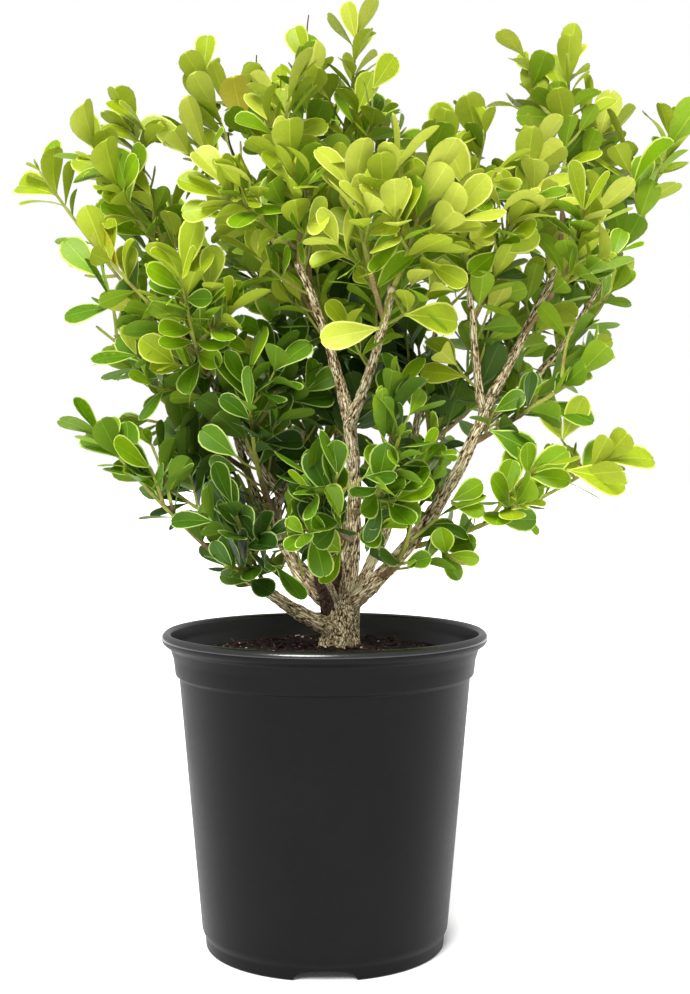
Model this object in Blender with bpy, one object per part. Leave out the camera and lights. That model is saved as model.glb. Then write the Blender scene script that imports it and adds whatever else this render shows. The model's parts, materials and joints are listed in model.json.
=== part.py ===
"""A young boxwood shrub, unclipped, growing in a round black nursery pot.

The shrub is a short flared trunk that forks low into woody boughs. Each bough carries sprays: leafy
masses of opposite leaves on green twigs. Every spray is one solid. The origin is the centre of the
pot's underside, +Z is up and -Y is the shrub's front. Sizes below are in millimetres.
"""

import math
import random

import bmesh
import bpy
from mathutils import Matrix, Vector
from mathutils.bvhtree import BVHTree

MM = 0.001

# ---- pot: a blow-moulded nursery pot with a rolled lip, two steps under it and a notched foot ring ----
LIP_RADIUS = 82.5
POT_HEIGHT = 160.0
BODY_TOP_RADIUS = 73.8
BODY_BOTTOM_RADIUS = 62.6
FOOT_RADIUS = 60.6
FOOT_HEIGHT = 6.0
FOOT_STEP = 3.0
FOOT_RING = 3.4
WALL = 1.6
FLOOR_HEIGHT = 5.0
PAD_RADIUS = 24.0
POT_SIDES = 28
NOTCHES = 3
NOTCH_WIDTH = 30.0
NOTCH_HEIGHT = 4.8
NOTCH_ARCH = (
    (-0.50, -1.0),
    (0.50, -1.0),
    (0.50, 0.35),
    (0.36, 0.78),
    (0.20, 1.0),
    (-0.20, 1.0),
    (-0.36, 0.78),
    (-0.50, 0.35),
)
DRAIN_HOLES = 4
DRAIN_RADIUS = 5.0
DRAIN_CIRCLE = 42.0

# the wall above the body, as (how far out from the body's top, how far below the rim)
LIP_OUTSIDE = (
    (0.0, 22.8),
    (1.9, 21.4),
    (2.8, 13.6),
    (4.5, 8.2),
    (LIP_RADIUS - BODY_TOP_RADIUS - 0.9, 5.9),
    (LIP_RADIUS - BODY_TOP_RADIUS, 4.2),
    (LIP_RADIUS - BODY_TOP_RADIUS, 2.0),
    (LIP_RADIUS - BODY_TOP_RADIUS - 2.2, 0.0),
)
LIP_INSIDE = (
    (4.2, 1.2),
    (2.9, 8.4),
    (0.6, 13.6),
    (-0.4, 21.2),
    (-WALL, 23.4),
)

# ---- potting mix: mounded round the stem, flat where the trunk is cut off at ground level ----
SOIL_LEVEL = 151.5
SOIL_EDGE_DROP = 7.5
SOIL_FALL = 2.4
SOIL_FLAT_RADIUS = 22.0
SOIL_RING_RADIUS = 46.0
SOIL_ROUGHNESS = 1.2

# ---- clearances ----
GAP = 0.3
SKIP_MARGIN = 0.25
FLARE_ALLOWANCE = 1.2

# ---- trunk: short, flared at the ground ----
TRUNK_FOOT = Vector((6.5, 0.0, SOIL_LEVEL + GAP))
TRUNK_FORK = Vector((11.0, 1.0, 177.0))
TRUNK_FOOT_RADIUS = 9.6
TRUNK_FORK_RADIUS = 7.6
ROOT_FLARE = 0.14
ROOT_SPREAD = 1.2
ROOT_LOBES = 5
TRUNK_SIDES = 15
TRUNK_RINGS = (0.0, 0.15, 0.45, 1.0)
LIMB_SIDES = 6

# ---- limbs: name, limb it grows from, share of the way up that limb, tip, bow at mid-way, radii ----
LIMBS = (
    ("bough_centre", "trunk", 0.94, (11, -30, 272), (8, 2, -4), 4.5, 3.2),
    ("bough_right", "trunk", 0.72, (80, -35, 276), (13, -14, -9), 4.6, 2.9),
    ("bough_left", "trunk", 0.62, (-23, 20, 232), (-25, 12, -8), 3.4, 2.3),
    ("bough_low_left", "trunk", 0.24, (-49, -20, 195), (-3, -6, -1), 5.4, 1.8),
    ("bough_back", "trunk", 0.90, (6, 58, 318), (-2, 16, -16), 4.0, 2.3),
    ("bough_back_left", "trunk", 0.66, (-52, 74, 276), (-20, 12, -12), 3.4, 2.1),
    ("bough_back_right", "trunk", 0.70, (54, 78, 284), (12, 14, -14), 3.6, 2.1),
    ("cut_stub", "trunk", 0.74, (-8, -32, 209), (-3, -5, 0), 1.8, 1.4),
    ("bough_centre_left", "bough_centre", 0.96, (-13, -56, 340), (3, -3, 2), 3.1, 1.9),
    ("bough_centre_right", "bough_centre", 0.93, (31, -72, 327), (2, -2, -6), 3.0, 2.0),
    ("bough_right_outer", "bough_right", 0.97, (117, -20, 344), (-3, 0, -4), 2.8, 1.8),
    ("bough_right_inner", "bough_right", 0.94, (69, -44, 333), (-3, -2, 0), 2.3, 1.6),
    ("bough_far_right", "bough_right", 0.88, (147, 12, 347), (10, 22, -12), 2.2, 1.4),
    ("bough_left_outer", "bough_left", 0.96, (-65, -10, 304), (-4, 5, -6), 2.5, 1.5),
    ("bough_left_inner", "bough_left", 0.90, (-8, 46, 286), (4, 8, -8), 2.1, 1.5),
    ("old_stump", "trunk", 0.50, (1, 9, 195), (-3, 2, 0), 7.4, 7.0),
)

# ---- sprays: name, limb it grows from, share, tip of its main stem, bow, tips of its side stems ----
SPRAYS = (
    ("spray_crest", "bough_back", 0.97, (16, 16, 464), (0, -6, -6), ((24, 4, 416), (2, 36, 430))),
    ("spray_upper_middle", "bough_centre_left", 0.80, (-9, 0, 444), (0, 16, 0), ((-34, 20, 430),)),
    ("spray_upper_left", "bough_centre_left", 0.56, (-60, -12, 437), (-6, 18, -6), ((-68, -30, 404),)),
    ("spray_centre_left", "bough_centre_left", 0.97, (-15, -84, 380), (2, -8, 2), ((-42, -76, 368),)),
    ("spray_left_tall", "bough_left_outer", 0.97, (-94, -20, 408), (-4, 2, 2), ((-110, -40, 396),)),
    ("spray_far_left", "bough_left_outer", 0.74, (-143, 0, 391), (-2, 6, -6), ((-122, 8, 340),)),
    ("spray_left_front", "bough_left_outer", 0.84, (-66, -62, 334), (0, -18, -14), ((-106, -46, 346),)),
    ("spray_left_middle", "bough_left_outer", 0.52, (-112, -22, 312), (-2, -2, -2), ((-104, -30, 326),)),
    ("spray_low_left", "bough_low_left", 0.97, (-108, -32, 258), (-3, 0, -3), ((-84, -44, 244),)),
    ("spray_low_left_back", "bough_low_left", 0.80, (-72, 14, 258), (-3, 8, -4), ()),
    ("spray_foot_left", "bough_low_left", 0.60, (-44, -46, 226), (-2, -6, 0), ((-48, -46, 196), (-24, -44, 202))),
    ("spray_heart_left", "bough_left", 0.80, (-36, -46, 288), (-6, -18, -16), ()),
    ("spray_core_left", "bough_left", 0.55, (-52, 44, 246), (-2, 4, -6), ()),
    ("spray_heart_low", "bough_centre", 0.34, (-6, -68, 240), (0, -22, -15), ()),
    ("spray_heart_right", "bough_centre", 0.48, (34, -80, 258), (0, -24, -16), ()),
    ("spray_core_middle", "bough_centre", 0.76, (16, 20, 336), (2, 14, -6), ()),
    ("spray_centre_front", "bough_centre_right", 0.78, (12, -100, 366), (-2, -10, 0), ()),
    ("spray_centre_bright", "bough_centre_right", 0.97, (44, -94, 368), (2, -6, -4), ((30, -104, 354),)),
    ("spray_centre_back", "bough_centre_right", 0.60, (46, -10, 385), (-2, 14, -4), ()),
    ("spray_right_inner", "bough_right_inner", 0.97, (77, -26, 413), (-2, 2, 0), ((66, -72, 370),)),
    ("spray_right_middle", "bough_right_inner", 0.66, (101, -34, 394), (2, -2, -4), ((88, -62, 362),)),
    ("spray_right_top", "bough_right_outer", 0.97, (123, 0, 443), (0, 2, 0), ((104, 4, 432),)),
    ("spray_right_shoulder", "bough_right_outer", 0.70, (150, 34, 415), (4, 10, -4), ()),
    ("spray_right_front", "bough_right_outer", 0.52, (128, -48, 364), (2, -8, -4), ()),
    ("spray_far_right", "bough_far_right", 0.97, (178, 12, 420), (8, 0, -8), ((154, 2, 398),)),
    ("spray_right_side", "bough_far_right", 0.60, (148, 24, 333), (4, 4, -4), ()),
    ("spray_right_low", "bough_right", 0.82, (130, -54, 294), (0, -2, -3), ()),
    ("spray_low_right", "bough_right", 0.34, (134, -46, 247), (2, -2, -10), ((66, -62, 198), (90, -60, 226))),
    ("spray_heart_back", "bough_right", 0.56, (48, 10, 304), (2, 12, -6), ()),
    ("spray_foot_right", "bough_right", 0.20, (42, -52, 222), (2, -14, -12), ()),
    ("spray_back_high", "bough_back", 0.80, (8, 96, 424), (0, 8, -6), ()),
    ("spray_core_back", "bough_back", 0.56, (22, 92, 312), (2, 6, -8), ()),
    ("spray_inner_back", "bough_left_inner", 0.97, (-40, 44, 392), (-6, 0, -2), ()),
    ("spray_back_left_high", "bough_back_left", 0.97, (-84, 96, 378), (-4, 6, -4), ()),
    ("spray_back_left_low", "bough_back_left", 0.70, (-112, 72, 304), (-4, 2, -6), ()),
    ("spray_back_low", "bough_back_left", 0.55, (-18, 114, 272), (0, 6, -8), ()),
    ("spray_back_right_high", "bough_back_right", 0.97, (76, 104, 392), (2, 4, -4), ()),
    ("spray_back_right_low", "bough_back_right", 0.72, (122, 84, 318), (6, 2, -6), ()),
    ("spray_back_right_foot", "bough_back_right", 0.52, (60, 110, 254), (2, 6, -8), ()),
)

# ---- how far leaves reach out from the pot's centre line: height, left, right, front and back ----
CROWN_REACH = (
    (160, 26, 40, 30),
    (185, 50, 74, 62),
    (215, 96, 112, 96),
    (235, 122, 200, 116),
    (280, 136, 150, 134),
    (330, 136, 156, 148),
    (375, 150, 168, 150),
    (402, 172, 192, 146),
    (432, 128, 192, 130),
    (458, 84, 142, 108),
    (484, 62, 96, 60),
)

# ---- twigs and leaves of a spray ----
TWIG_SIDES = 3
MAIN_RINGS = 4
SIDE_RINGS = 3
TWIG_BASE_RADIUS = 1.9
TWIG_TIP_RADIUS = 0.9
SIDE_STEM_SHARES = (0.42, 0.70)
SIDE_STEM_LENGTH = 0.42
SIDE_STEM_ANGLE = math.radians(46)
SIDE_STEM_TRIES = 8
BOW_TRIES = 9
LEAF_LENGTH = 26.0
LEAF_WIDTH_SHARE = 0.58
LEAF_THICKNESS = 0.9
LEAF_ROOT = 0.3
LEAF_FOOT = 3.3
LEAF_WIDEST = 0.60
LEAF_ROLL = math.radians(48)
TIP_SETBACK = 1.8
FIRST_INTERNODE = 12.0
INTERNODE = 30.0
TIP_SPREAD = math.radians(20)
LOWER_SPREAD = math.radians(52)
LEAFY_SHARE_MAIN = 0.78
LEAFY_SHARE_SIDE = 0.66
MOST_LEAVES = 12
GOLDEN_ANGLE = math.radians(137.5)
LOWEST_LEAF = 168.0
SEED = 11

# ---- soundness of the fused meshes ----
SHORTEST_EDGE = 0.004
THINNEST_FACE = 0.0015
NUDGE = 0.03
NUDGES = 12


# ---------------------------------------------------------------- materials


def plain_material(name, colour, roughness):
    material = bpy.data.materials.new(name)
    material.use_nodes = True
    shader = material.node_tree.nodes["Principled BSDF"]
    shader.inputs["Base Color"].default_value = (*colour, 1.0)
    shader.inputs["Roughness"].default_value = roughness
    shader.inputs["Metallic"].default_value = 0.0
    return material


# ---------------------------------------------------------------- meshes


def mesh_object(name, points, faces, material=None, smooth=False):
    """An object whose mesh has these points, given in millimetres."""
    mesh = bpy.data.meshes.new(name)
    mesh.from_pydata([Vector(p) * MM for p in points], [], faces)
    if smooth:
        mesh.shade_smooth()
        mesh.set_sharp_from_angle(angle=math.radians(40))
    if material:
        mesh.materials.append(material)
    made = bpy.data.objects.new(name, mesh)
    bpy.context.scene.collection.objects.link(made)
    return made


def turned(profile, sides):
    """Points and faces of a closed profile, a loop of (radius, height), turned about Z.
    A point on the axis is made once."""
    points, rings = [], []
    for radius, height in profile:
        if radius == 0.0:
            rings.append([len(points)] * sides)
            points.append(Vector((0, 0, height)))
            continue
        rings.append([len(points) + i for i in range(sides)])
        for i in range(sides):
            turn = math.tau * i / sides
            points.append(Vector((radius * math.cos(turn), radius * math.sin(turn), height)))
    faces = []
    for low, high in zip(rings, rings[1:] + rings[:1]):
        if low[0] == low[1] and high[0] == high[1]:
            continue
        for i in range(sides):
            j = (i + 1) % sides
            corners = dict.fromkeys((low[i], low[j], high[j], high[i]))
            faces.append(list(corners))
    return points, faces


def frames_along(route):
    """A (tangent, side, up) frame at each point of a route, carried along it without twisting."""
    tangents = []
    for i in range(len(route)):
        before, after = route[max(i - 1, 0)], route[min(i + 1, len(route) - 1)]
        tangents.append((after - before).normalized())
    side = tangents[0].orthogonal().normalized()
    frames = []
    for tangent in tangents:
        side = (side - tangent * side.dot(tangent)).normalized()
        frames.append((tangent, side, tangent.cross(side)))
    return frames


def tube(route, radii, sides):
    """Points and faces of a closed tube along a route, with flat ends."""
    points, faces = [], []
    for centre, radius, (_, side, up) in zip(route, radii, frames_along(route)):
        for k in range(sides):
            turn = math.tau * k / sides
            points.append(centre + (side * math.cos(turn) + up * math.sin(turn)) * radius)
    for ring in range(len(route) - 1):
        for k in range(sides):
            a, b = ring * sides + k, ring * sides + (k + 1) % sides
            faces.append((a, b, b + sides, a + sides))
    faces.append(tuple(reversed(range(sides))))
    faces.append(tuple(range(len(points) - sides, len(points))))
    return points, faces


# ---------------------------------------------------------------- growth rule


def bent_route(start, tip, bow, count):
    """A smooth route from start to tip that swings out by half of bow at mid-way."""
    control = (start + tip) / 2 + bow
    route = []
    for i in range(count):
        t = i / (count - 1)
        route.append(start * (1 - t) ** 2 + control * (2 * t * (1 - t)) + tip * t**2)
    return route


def tapered(base, end, count):
    return [base + (end - base) * i / (count - 1) for i in range(count)]


def point_on(route, share):
    """The point that lies this share of the way along a route, and the direction there."""
    place = share * (len(route) - 1)
    i = min(int(place), len(route) - 2)
    return route[i].lerp(route[i + 1], place - i), (route[i + 1] - route[i]).normalized()


def route_length(route):
    return sum((b - a).length for a, b in zip(route, route[1:]))


def fork_share(route, tip, angle):
    """Where a side stem leaves a main stem so that it reaches its tip at about this angle."""
    best = (9.0, 0.5)
    for step in range(3, 18):
        share = step / 20
        point, along = point_on(route, share)
        best = min(best, (abs(along.angle(tip - point) - angle), share))
    return best[1]


def within_reach(point):
    """Whether a point lies within the crown's reach at its height."""
    low, high = CROWN_REACH[0], CROWN_REACH[-1]
    if not low[0] <= point.z <= high[0]:
        return False
    for below, above in zip(CROWN_REACH, CROWN_REACH[1:]):
        if point.z <= above[0]:
            share = (point.z - below[0]) / (above[0] - below[0])
            left, right, deep = (b + (a - b) * share for b, a in zip(below[1:], above[1:]))
            across = right if point.x > 0 else left
            return (point.x / across) ** 2 + (point.y / deep) ** 2 <= 1.0
    return False


class Space:
    """What is already taken, so that a new twig or leaf can be tested against it."""

    def __init__(self):
        self.taken = []

    def add(self, owner, points, faces):
        low = Vector([min(p[i] for p in points) for i in range(3)])
        high = Vector([max(p[i] for p in points) for i in range(3)])
        tree = BVHTree.FromPolygons(points, faces)
        self.taken.append((owner, low, high, tree))

    def touched(self, points, faces, but=()):
        low = [min(p[i] for p in points) for i in range(3)]
        high = [max(p[i] for p in points) for i in range(3)]
        tree = None
        for owner, other_low, other_high, other in self.taken:
            if owner in but or any(low[i] > other_high[i] or high[i] < other_low[i] for i in range(3)):
                continue
            tree = tree or BVHTree.FromPolygons(points, faces)
            if tree.overlap(other):
                return True
        return False


def leaf_frame(stem_along, outwards, spread, rng):
    """Directions of a leaf: along its midrib, across it, and out of its upper face."""
    along = (stem_along * math.cos(spread) + outwards * math.sin(spread)).normalized()
    face = stem_along - along * stem_along.dot(along) + Vector((0, 0, 0.25))
    face = (face - along * face.dot(along)).normalized()
    face = Matrix.Rotation(rng.uniform(-LEAF_ROLL, LEAF_ROLL), 3, along) @ face
    return along, along.cross(face), face


def leaf_solid(root, frame, length, grown=0.0, clear_of_root=0.0):
    """A leaf of eight faces: four points round its outline and one on each side of the blade.
    grown makes it larger all round and clear_of_root leaves out its foot, to test for clearance."""
    along, across, face = frame
    half = length * LEAF_WIDTH_SHARE / 2 + grown
    thick = LEAF_THICKNESS / 2 + grown
    start = root + along * (clear_of_root - LEAF_ROOT)
    end = root + along * (length + grown)
    middle = root + along * length * LEAF_WIDEST
    points = [
        start,
        middle + across * half,
        end,
        middle - across * half,
        middle + face * thick,
        middle - face * thick,
    ]
    faces = [(0, 1, 4), (1, 2, 4), (2, 3, 4), (3, 0, 4), (1, 0, 5), (2, 1, 5), (3, 2, 5), (0, 3, 5)]
    return points, faces


def leaf_fits(name, root, frame, length, space):
    """Whether a leaf stays within reach, above the lip, off its own spray and off everything else."""
    blade = leaf_solid(root, frame, length, SKIP_MARGIN, LEAF_FOOT)
    whole = leaf_solid(root, frame, length, SKIP_MARGIN)
    if min(p.z for p in blade[0]) < LOWEST_LEAF or not within_reach(blade[0][2]):
        return False
    return not space.touched(*blade) and not space.touched(*whole, but=(name,))


def leaf_nodes(length, leafy_share):
    """Distances from a stem's foot at which it bears a pair of leaves, from the tip down."""
    places, place, step = [], length - TIP_SETBACK, FIRST_INTERNODE
    while place > length * (1 - leafy_share):
        places.append(place)
        place -= step
        step = min(step * 1.6, INTERNODE)
    return places


def grow_limbs(space):
    """Routes and radii of the trunk and of every limb, by name."""
    grown = {}
    count = 6
    trunk = [TRUNK_FOOT.lerp(TRUNK_FORK, i / 4) for i in range(5)]
    grown["trunk"] = (trunk, tapered(TRUNK_FOOT_RADIUS, TRUNK_FORK_RADIUS, 5))
    for name, parent, share, tip, bow, base_radius, tip_radius in LIMBS:
        start, _ = point_on(grown[parent][0], share)
        route = bent_route(start, Vector(tip), Vector(bow), count)
        slimming = [(1 - i / (count - 1)) ** 1.4 for i in range(count)]
        radii = [tip_radius + (base_radius - tip_radius) * share_left for share_left in slimming]
        grown[name] = (route, radii)
    for name, (route, radii) in grown.items():
        space.add(name, *tube(route, [r + SKIP_MARGIN for r in radii], 8))
    return grown


def grow_stems(limbs, space, rng):
    """Stems of every spray, by name: a list of (route, radii, leafy share), the main stem first."""
    sprays = {}
    for name, limb, share, tip, bow, _ in SPRAYS:
        start, _ = point_on(limbs[limb][0], share)
        chord = Vector(tip) - start
        radii = tapered(min(TWIG_BASE_RADIUS, limbs[limb][1][-1] * 0.85), TWIG_TIP_RADIUS, MAIN_RINGS)
        for attempt in range(BOW_TRIES):
            turn = Matrix.Rotation(math.tau * attempt / BOW_TRIES, 3, chord)
            turned_bow = turn @ (Vector(bow) * (1 + attempt / 3))
            route = bent_route(start, Vector(tip), turned_bow, MAIN_RINGS)
            stem = tube(route, [r + SKIP_MARGIN for r in radii], TWIG_SIDES)
            if not space.touched(*stem, but=(limb,)):
                break
        sprays[name] = [(route, radii, LEAFY_SHARE_MAIN)]
        space.add(name, *stem)
    for number, (name, _, _, _, _, side_tips) in enumerate(SPRAYS):
        main = sprays[name][0][0]
        for tip in side_tips:
            tip = Vector(tip)
            start, along = point_on(main, fork_share(main, tip, SIDE_STEM_ANGLE))
            add_side_stem(name, sprays, space, start, tip, along)
        length = route_length(main)
        for step, share in enumerate(SIDE_STEM_SHARES[: 1 if side_tips else 2]):
            start, along = point_on(main, share)
            across = along.orthogonal().normalized()
            reach = length * SIDE_STEM_LENGTH * rng.uniform(0.85, 1.15)
            for attempt in range(SIDE_STEM_TRIES):
                turn = GOLDEN_ANGLE * (number + 2 * step + attempt) + rng.uniform(-0.3, 0.3)
                out = Matrix.Rotation(turn, 3, along) @ across
                heading = along * math.cos(SIDE_STEM_ANGLE) + out * math.sin(SIDE_STEM_ANGLE)
                tip = start + (heading + Vector((0, 0, 0.2))).normalized() * reach
                if within_reach(tip) and add_side_stem(name, sprays, space, start, tip, along):
                    break
    return sprays


def add_side_stem(name, sprays, space, start, tip, along):
    """Adds a side stem to a spray unless it would touch what is there. It says whether it did."""
    leans = along - (tip - start).normalized()
    route = bent_route(start, tip, -leans * (tip - start).length * 0.10, SIDE_RINGS)
    radii = tapered(TWIG_BASE_RADIUS * 0.62, TWIG_TIP_RADIUS, SIDE_RINGS)
    wide = [r + SKIP_MARGIN for r in radii]
    beyond_fork = [route[0].lerp(route[1], 0.3)] + route[1:]
    if space.touched(*tube(beyond_fork, wide, TWIG_SIDES)):
        return False
    if space.touched(*tube(route, wide, TWIG_SIDES), but=(name,)):
        return False
    sprays[name].append((route, radii, LEAFY_SHARE_SIDE))
    space.add(name, *tube(route, wide, TWIG_SIDES))
    return True


def grow_leaves(sprays, space, rng):
    """Leaves of every spray, by name: (root, frame, length). Pairs nearest the tips come first."""
    wanted = []
    for name, stems in sprays.items():
        for route, _, leafy_share in stems:
            length = route_length(route)
            twist = rng.uniform(0, math.pi)
            for order, place in enumerate(leaf_nodes(length, leafy_share)):
                wanted.append((order, len(wanted), name, route, place / length, twist))
    leaves = {name: [] for name in sprays}
    for order, _, name, route, share, twist in sorted(wanted, key=lambda w: w[:2]):
        root, along = point_on(route, share)
        across = along.orthogonal().normalized()
        spread = min(TIP_SPREAD + order * math.radians(13), LOWER_SPREAD)
        for half in (0, 1):
            turn = twist + order * math.pi / 2 + half * math.pi + rng.uniform(-0.25, 0.25)
            out = Matrix.Rotation(turn, 3, along) @ across
            frame = leaf_frame(along, out, spread + rng.uniform(-0.12, 0.12), rng)
            length = LEAF_LENGTH * rng.uniform(0.84, 1.1)
            if len(leaves[name]) < MOST_LEAVES and leaf_fits(name, root, frame, length, space):
                leaves[name].append((root, frame, length))
                space.add(name, *leaf_solid(root, frame, length, SKIP_MARGIN, LEAF_FOOT))
    return leaves


# ---------------------------------------------------------------- fusing and cutting


def applied(made, operand, operation):
    """Replaces an object's mesh by its Boolean with a collection's objects, which are then removed."""
    collection = bpy.data.collections.new(operation)
    bpy.context.scene.collection.children.link(collection)
    for other in operand:
        bpy.context.scene.collection.objects.unlink(other)
        collection.objects.link(other)
    modifier = made.modifiers.new(operation, "BOOLEAN")
    modifier.operation = operation
    modifier.operand_type = "COLLECTION"
    modifier.collection = collection
    modifier.solver = "MANIFOLD"
    graph = bpy.context.evaluated_depsgraph_get()
    mesh = bpy.data.meshes.new_from_object(made.evaluated_get(graph), depsgraph=graph)
    made.modifiers.clear()
    old, made.data = made.data, mesh
    bpy.data.meshes.remove(old)
    for other in operand:
        bpy.data.objects.remove(other)
    bpy.data.collections.remove(collection)


def keep_largest_shell(made):
    """Drops loose scraps and fills sealed hollows: only the shell with the most faces stays."""
    work = bmesh.new()
    work.from_mesh(made.data)
    work.verts.ensure_lookup_table()
    seen, shells = set(), []
    for first in work.verts:
        if first in seen:
            continue
        shell, reach = [], [first]
        seen.add(first)
        while reach:
            vertex = reach.pop()
            shell.append(vertex)
            for edge in vertex.link_edges:
                other = edge.other_vert(vertex)
                if other not in seen:
                    seen.add(other)
                    reach.append(other)
        shells.append(shell)
    shells.sort(key=len)
    for shell in shells[:-1]:
        bmesh.ops.delete(work, geom=shell, context="VERTS")
    work.to_mesh(made.data)
    work.free()


def limb_cutters(limbs, names):
    """The limbs of these names, larger all round by the gap, as objects to cut with."""
    cutters = []
    for name in names:
        route, radii = limbs[name]
        grown = GAP / math.cos(math.pi / LIMB_SIDES)
        longer = route[:-1] + [route[-1] + (route[-1] - route[-2]).normalized() * GAP]
        cutters.append(mesh_object("cutter_" + name, *tube(longer, [r + grown for r in radii], LIMB_SIDES)))
    return cutters


# ---------------------------------------------------------------- the pieces


def pot_profile():
    """The pot's wall as one closed loop of (radius, height): outside up, over the lip, inside down."""
    outside = [
        (FOOT_RADIUS, 0.0),
        (FOOT_RADIUS + 0.4, FOOT_HEIGHT),
        (BODY_BOTTOM_RADIUS, FOOT_HEIGHT + FOOT_STEP),
    ]
    inside = [
        (BODY_BOTTOM_RADIUS - WALL, FOOT_HEIGHT + FOOT_STEP - 0.6),
        (FOOT_RADIUS - 2.2, FLOOR_HEIGHT + WALL),
        (PAD_RADIUS + 1.6, FLOOR_HEIGHT + WALL),
        (PAD_RADIUS - 1.6, WALL),
        (0.0, WALL),
    ]
    underside = [
        (0.0, 0.0),
        (PAD_RADIUS, 0.0),
        (PAD_RADIUS + 3.2, FLOOR_HEIGHT),
        (FOOT_RADIUS - FOOT_RING, FLOOR_HEIGHT),
        (FOOT_RADIUS - FOOT_RING, 0.0),
    ]
    lip = [(BODY_TOP_RADIUS + out, POT_HEIGHT - drop) for out, drop in LIP_OUTSIDE + LIP_INSIDE]
    return outside + lip + inside + underside


def make_pot(material):
    pot = mesh_object("pot", *turned(pot_profile(), POT_SIDES), material, smooth=True)
    cutters = []
    for i in range(NOTCHES):
        turn = math.tau * i / NOTCHES - math.pi / 2
        out = Vector((math.cos(turn), math.sin(turn), 0))
        side = Vector((-out.y, out.x, 0))
        near, far = [], []
        for across, high in NOTCH_ARCH:
            foot = side * (across * NOTCH_WIDTH) + Vector((0, 0, high * NOTCH_HEIGHT))
            near.append(foot + out * (FOOT_RADIUS - FOOT_RING - 6.0))
            far.append(foot + out * (FOOT_RADIUS + 8.0))
        count = len(NOTCH_ARCH)
        faces = [tuple(range(count)), tuple(reversed(range(count, 2 * count)))]
        faces += [(i, i + count, (i + 1) % count + count, (i + 1) % count) for i in range(count)]
        cutters.append(mesh_object("notch", near + far, faces))
    for i in range(DRAIN_HOLES):
        turn = math.tau * (i + 0.5) / DRAIN_HOLES
        centre = Vector((math.cos(turn), math.sin(turn), 0)) * DRAIN_CIRCLE
        route = [centre + Vector((0, 0, z)) for z in (FLOOR_HEIGHT - 3, FLOOR_HEIGHT + WALL + 3)]
        cutters.append(mesh_object("drain", *tube(route, [DRAIN_RADIUS] * 2, 8)))
    for cutter in cutters:
        face_outwards(cutter)
    applied(pot, cutters, "DIFFERENCE")
    return pot


def face_outwards(made):
    work = bmesh.new()
    work.from_mesh(made.data)
    bmesh.ops.recalc_face_normals(work, faces=work.faces)
    work.to_mesh(made.data)
    work.free()


def soil_height(radius):
    """The mound falls away from the flat round the trunk to the wall."""
    if radius <= SOIL_FLAT_RADIUS:
        return SOIL_LEVEL
    share = (radius - SOIL_FLAT_RADIUS) / (BODY_TOP_RADIUS - SOIL_FLAT_RADIUS)
    return SOIL_LEVEL - SOIL_EDGE_DROP * share**SOIL_FALL


def make_soil(material):
    """The root ball fills the pot from its floor to the mound, clear of the wall by the gap."""
    top_edge = BODY_TOP_RADIUS - GAP
    profile = [
        (0.0, WALL + GAP),
        (PAD_RADIUS - 1.9, WALL + GAP),
        (PAD_RADIUS + 1.3, FLOOR_HEIGHT + WALL + GAP),
        (FOOT_RADIUS - 2.7, FLOOR_HEIGHT + WALL + GAP),
        (BODY_BOTTOM_RADIUS - WALL - GAP - 0.1, FOOT_HEIGHT + FOOT_STEP - 0.4),
        (BODY_TOP_RADIUS - WALL - GAP - 0.15, POT_HEIGHT - 24.0),
        (BODY_TOP_RADIUS - 1.0, POT_HEIGHT - 20.8),
        (top_edge, soil_height(top_edge)),
        (SOIL_RING_RADIUS, soil_height(SOIL_RING_RADIUS)),
        (SOIL_FLAT_RADIUS, SOIL_LEVEL),
        (0.0, SOIL_LEVEL),
    ]
    points, faces = turned(profile, POT_SIDES)
    rng = random.Random(SEED)
    for point in points:
        radius = math.hypot(point.x, point.y)
        if SOIL_FLAT_RADIUS + 1 < radius < top_edge - 1 and point.z > POT_HEIGHT - 20:
            point.z += rng.uniform(-SOIL_ROUGHNESS, SOIL_ROUGHNESS)
    return mesh_object("soil", points, faces, material)


def trunk_solid(grown=0.0):
    """The trunk flares into root lobes at the ground and narrows to where it forks.
    grown makes it larger all round, to cut with."""
    points, faces = [], []
    top = TRUNK_FORK + (TRUNK_FORK - TRUNK_FOOT).normalized() * grown
    for share in TRUNK_RINGS:
        centre = TRUNK_FOOT.lerp(top, share)
        radius = TRUNK_FOOT_RADIUS + (TRUNK_FORK_RADIUS - TRUNK_FOOT_RADIUS) * share**0.7
        for k in range(TRUNK_SIDES):
            turn = math.tau * k / TRUNK_SIDES
            lobes = 1 + ROOT_FLARE * (1 - share) ** 2.2 * math.cos(ROOT_LOBES * turn + 0.6)
            flare = radius * lobes + ROOT_SPREAD * (1 - share) ** 4 + grown * FLARE_ALLOWANCE
            points.append(centre + Vector((math.cos(turn), math.sin(turn), 0)) * flare)
    for ring in range(len(TRUNK_RINGS) - 1):
        for k in range(TRUNK_SIDES):
            a, b = ring * TRUNK_SIDES + k, ring * TRUNK_SIDES + (k + 1) % TRUNK_SIDES
            faces.append((a, b, b + TRUNK_SIDES, a + TRUNK_SIDES))
    faces.append(tuple(reversed(range(TRUNK_SIDES))))
    faces.append(tuple(range(len(points) - TRUNK_SIDES, len(points))))
    return points, faces


def make_limbs(limbs, material, stub_material):
    """Each limb is a tapering tube, cut clear of the trunk and of every limb made before it."""
    names = [row[0] for row in LIMBS]
    for number, name in enumerate(names):
        route, radii = limbs[name]
        bark = stub_material if name == "cut_stub" else material
        made = mesh_object(name, *tube(route, radii, LIMB_SIDES), bark, smooth=True)
        cutters = [mesh_object("cutter_trunk", *trunk_solid(GAP))] + limb_cutters(limbs, names[:number])
        applied(made, cutters, "DIFFERENCE")
        keep_largest_shell(made)


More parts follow.
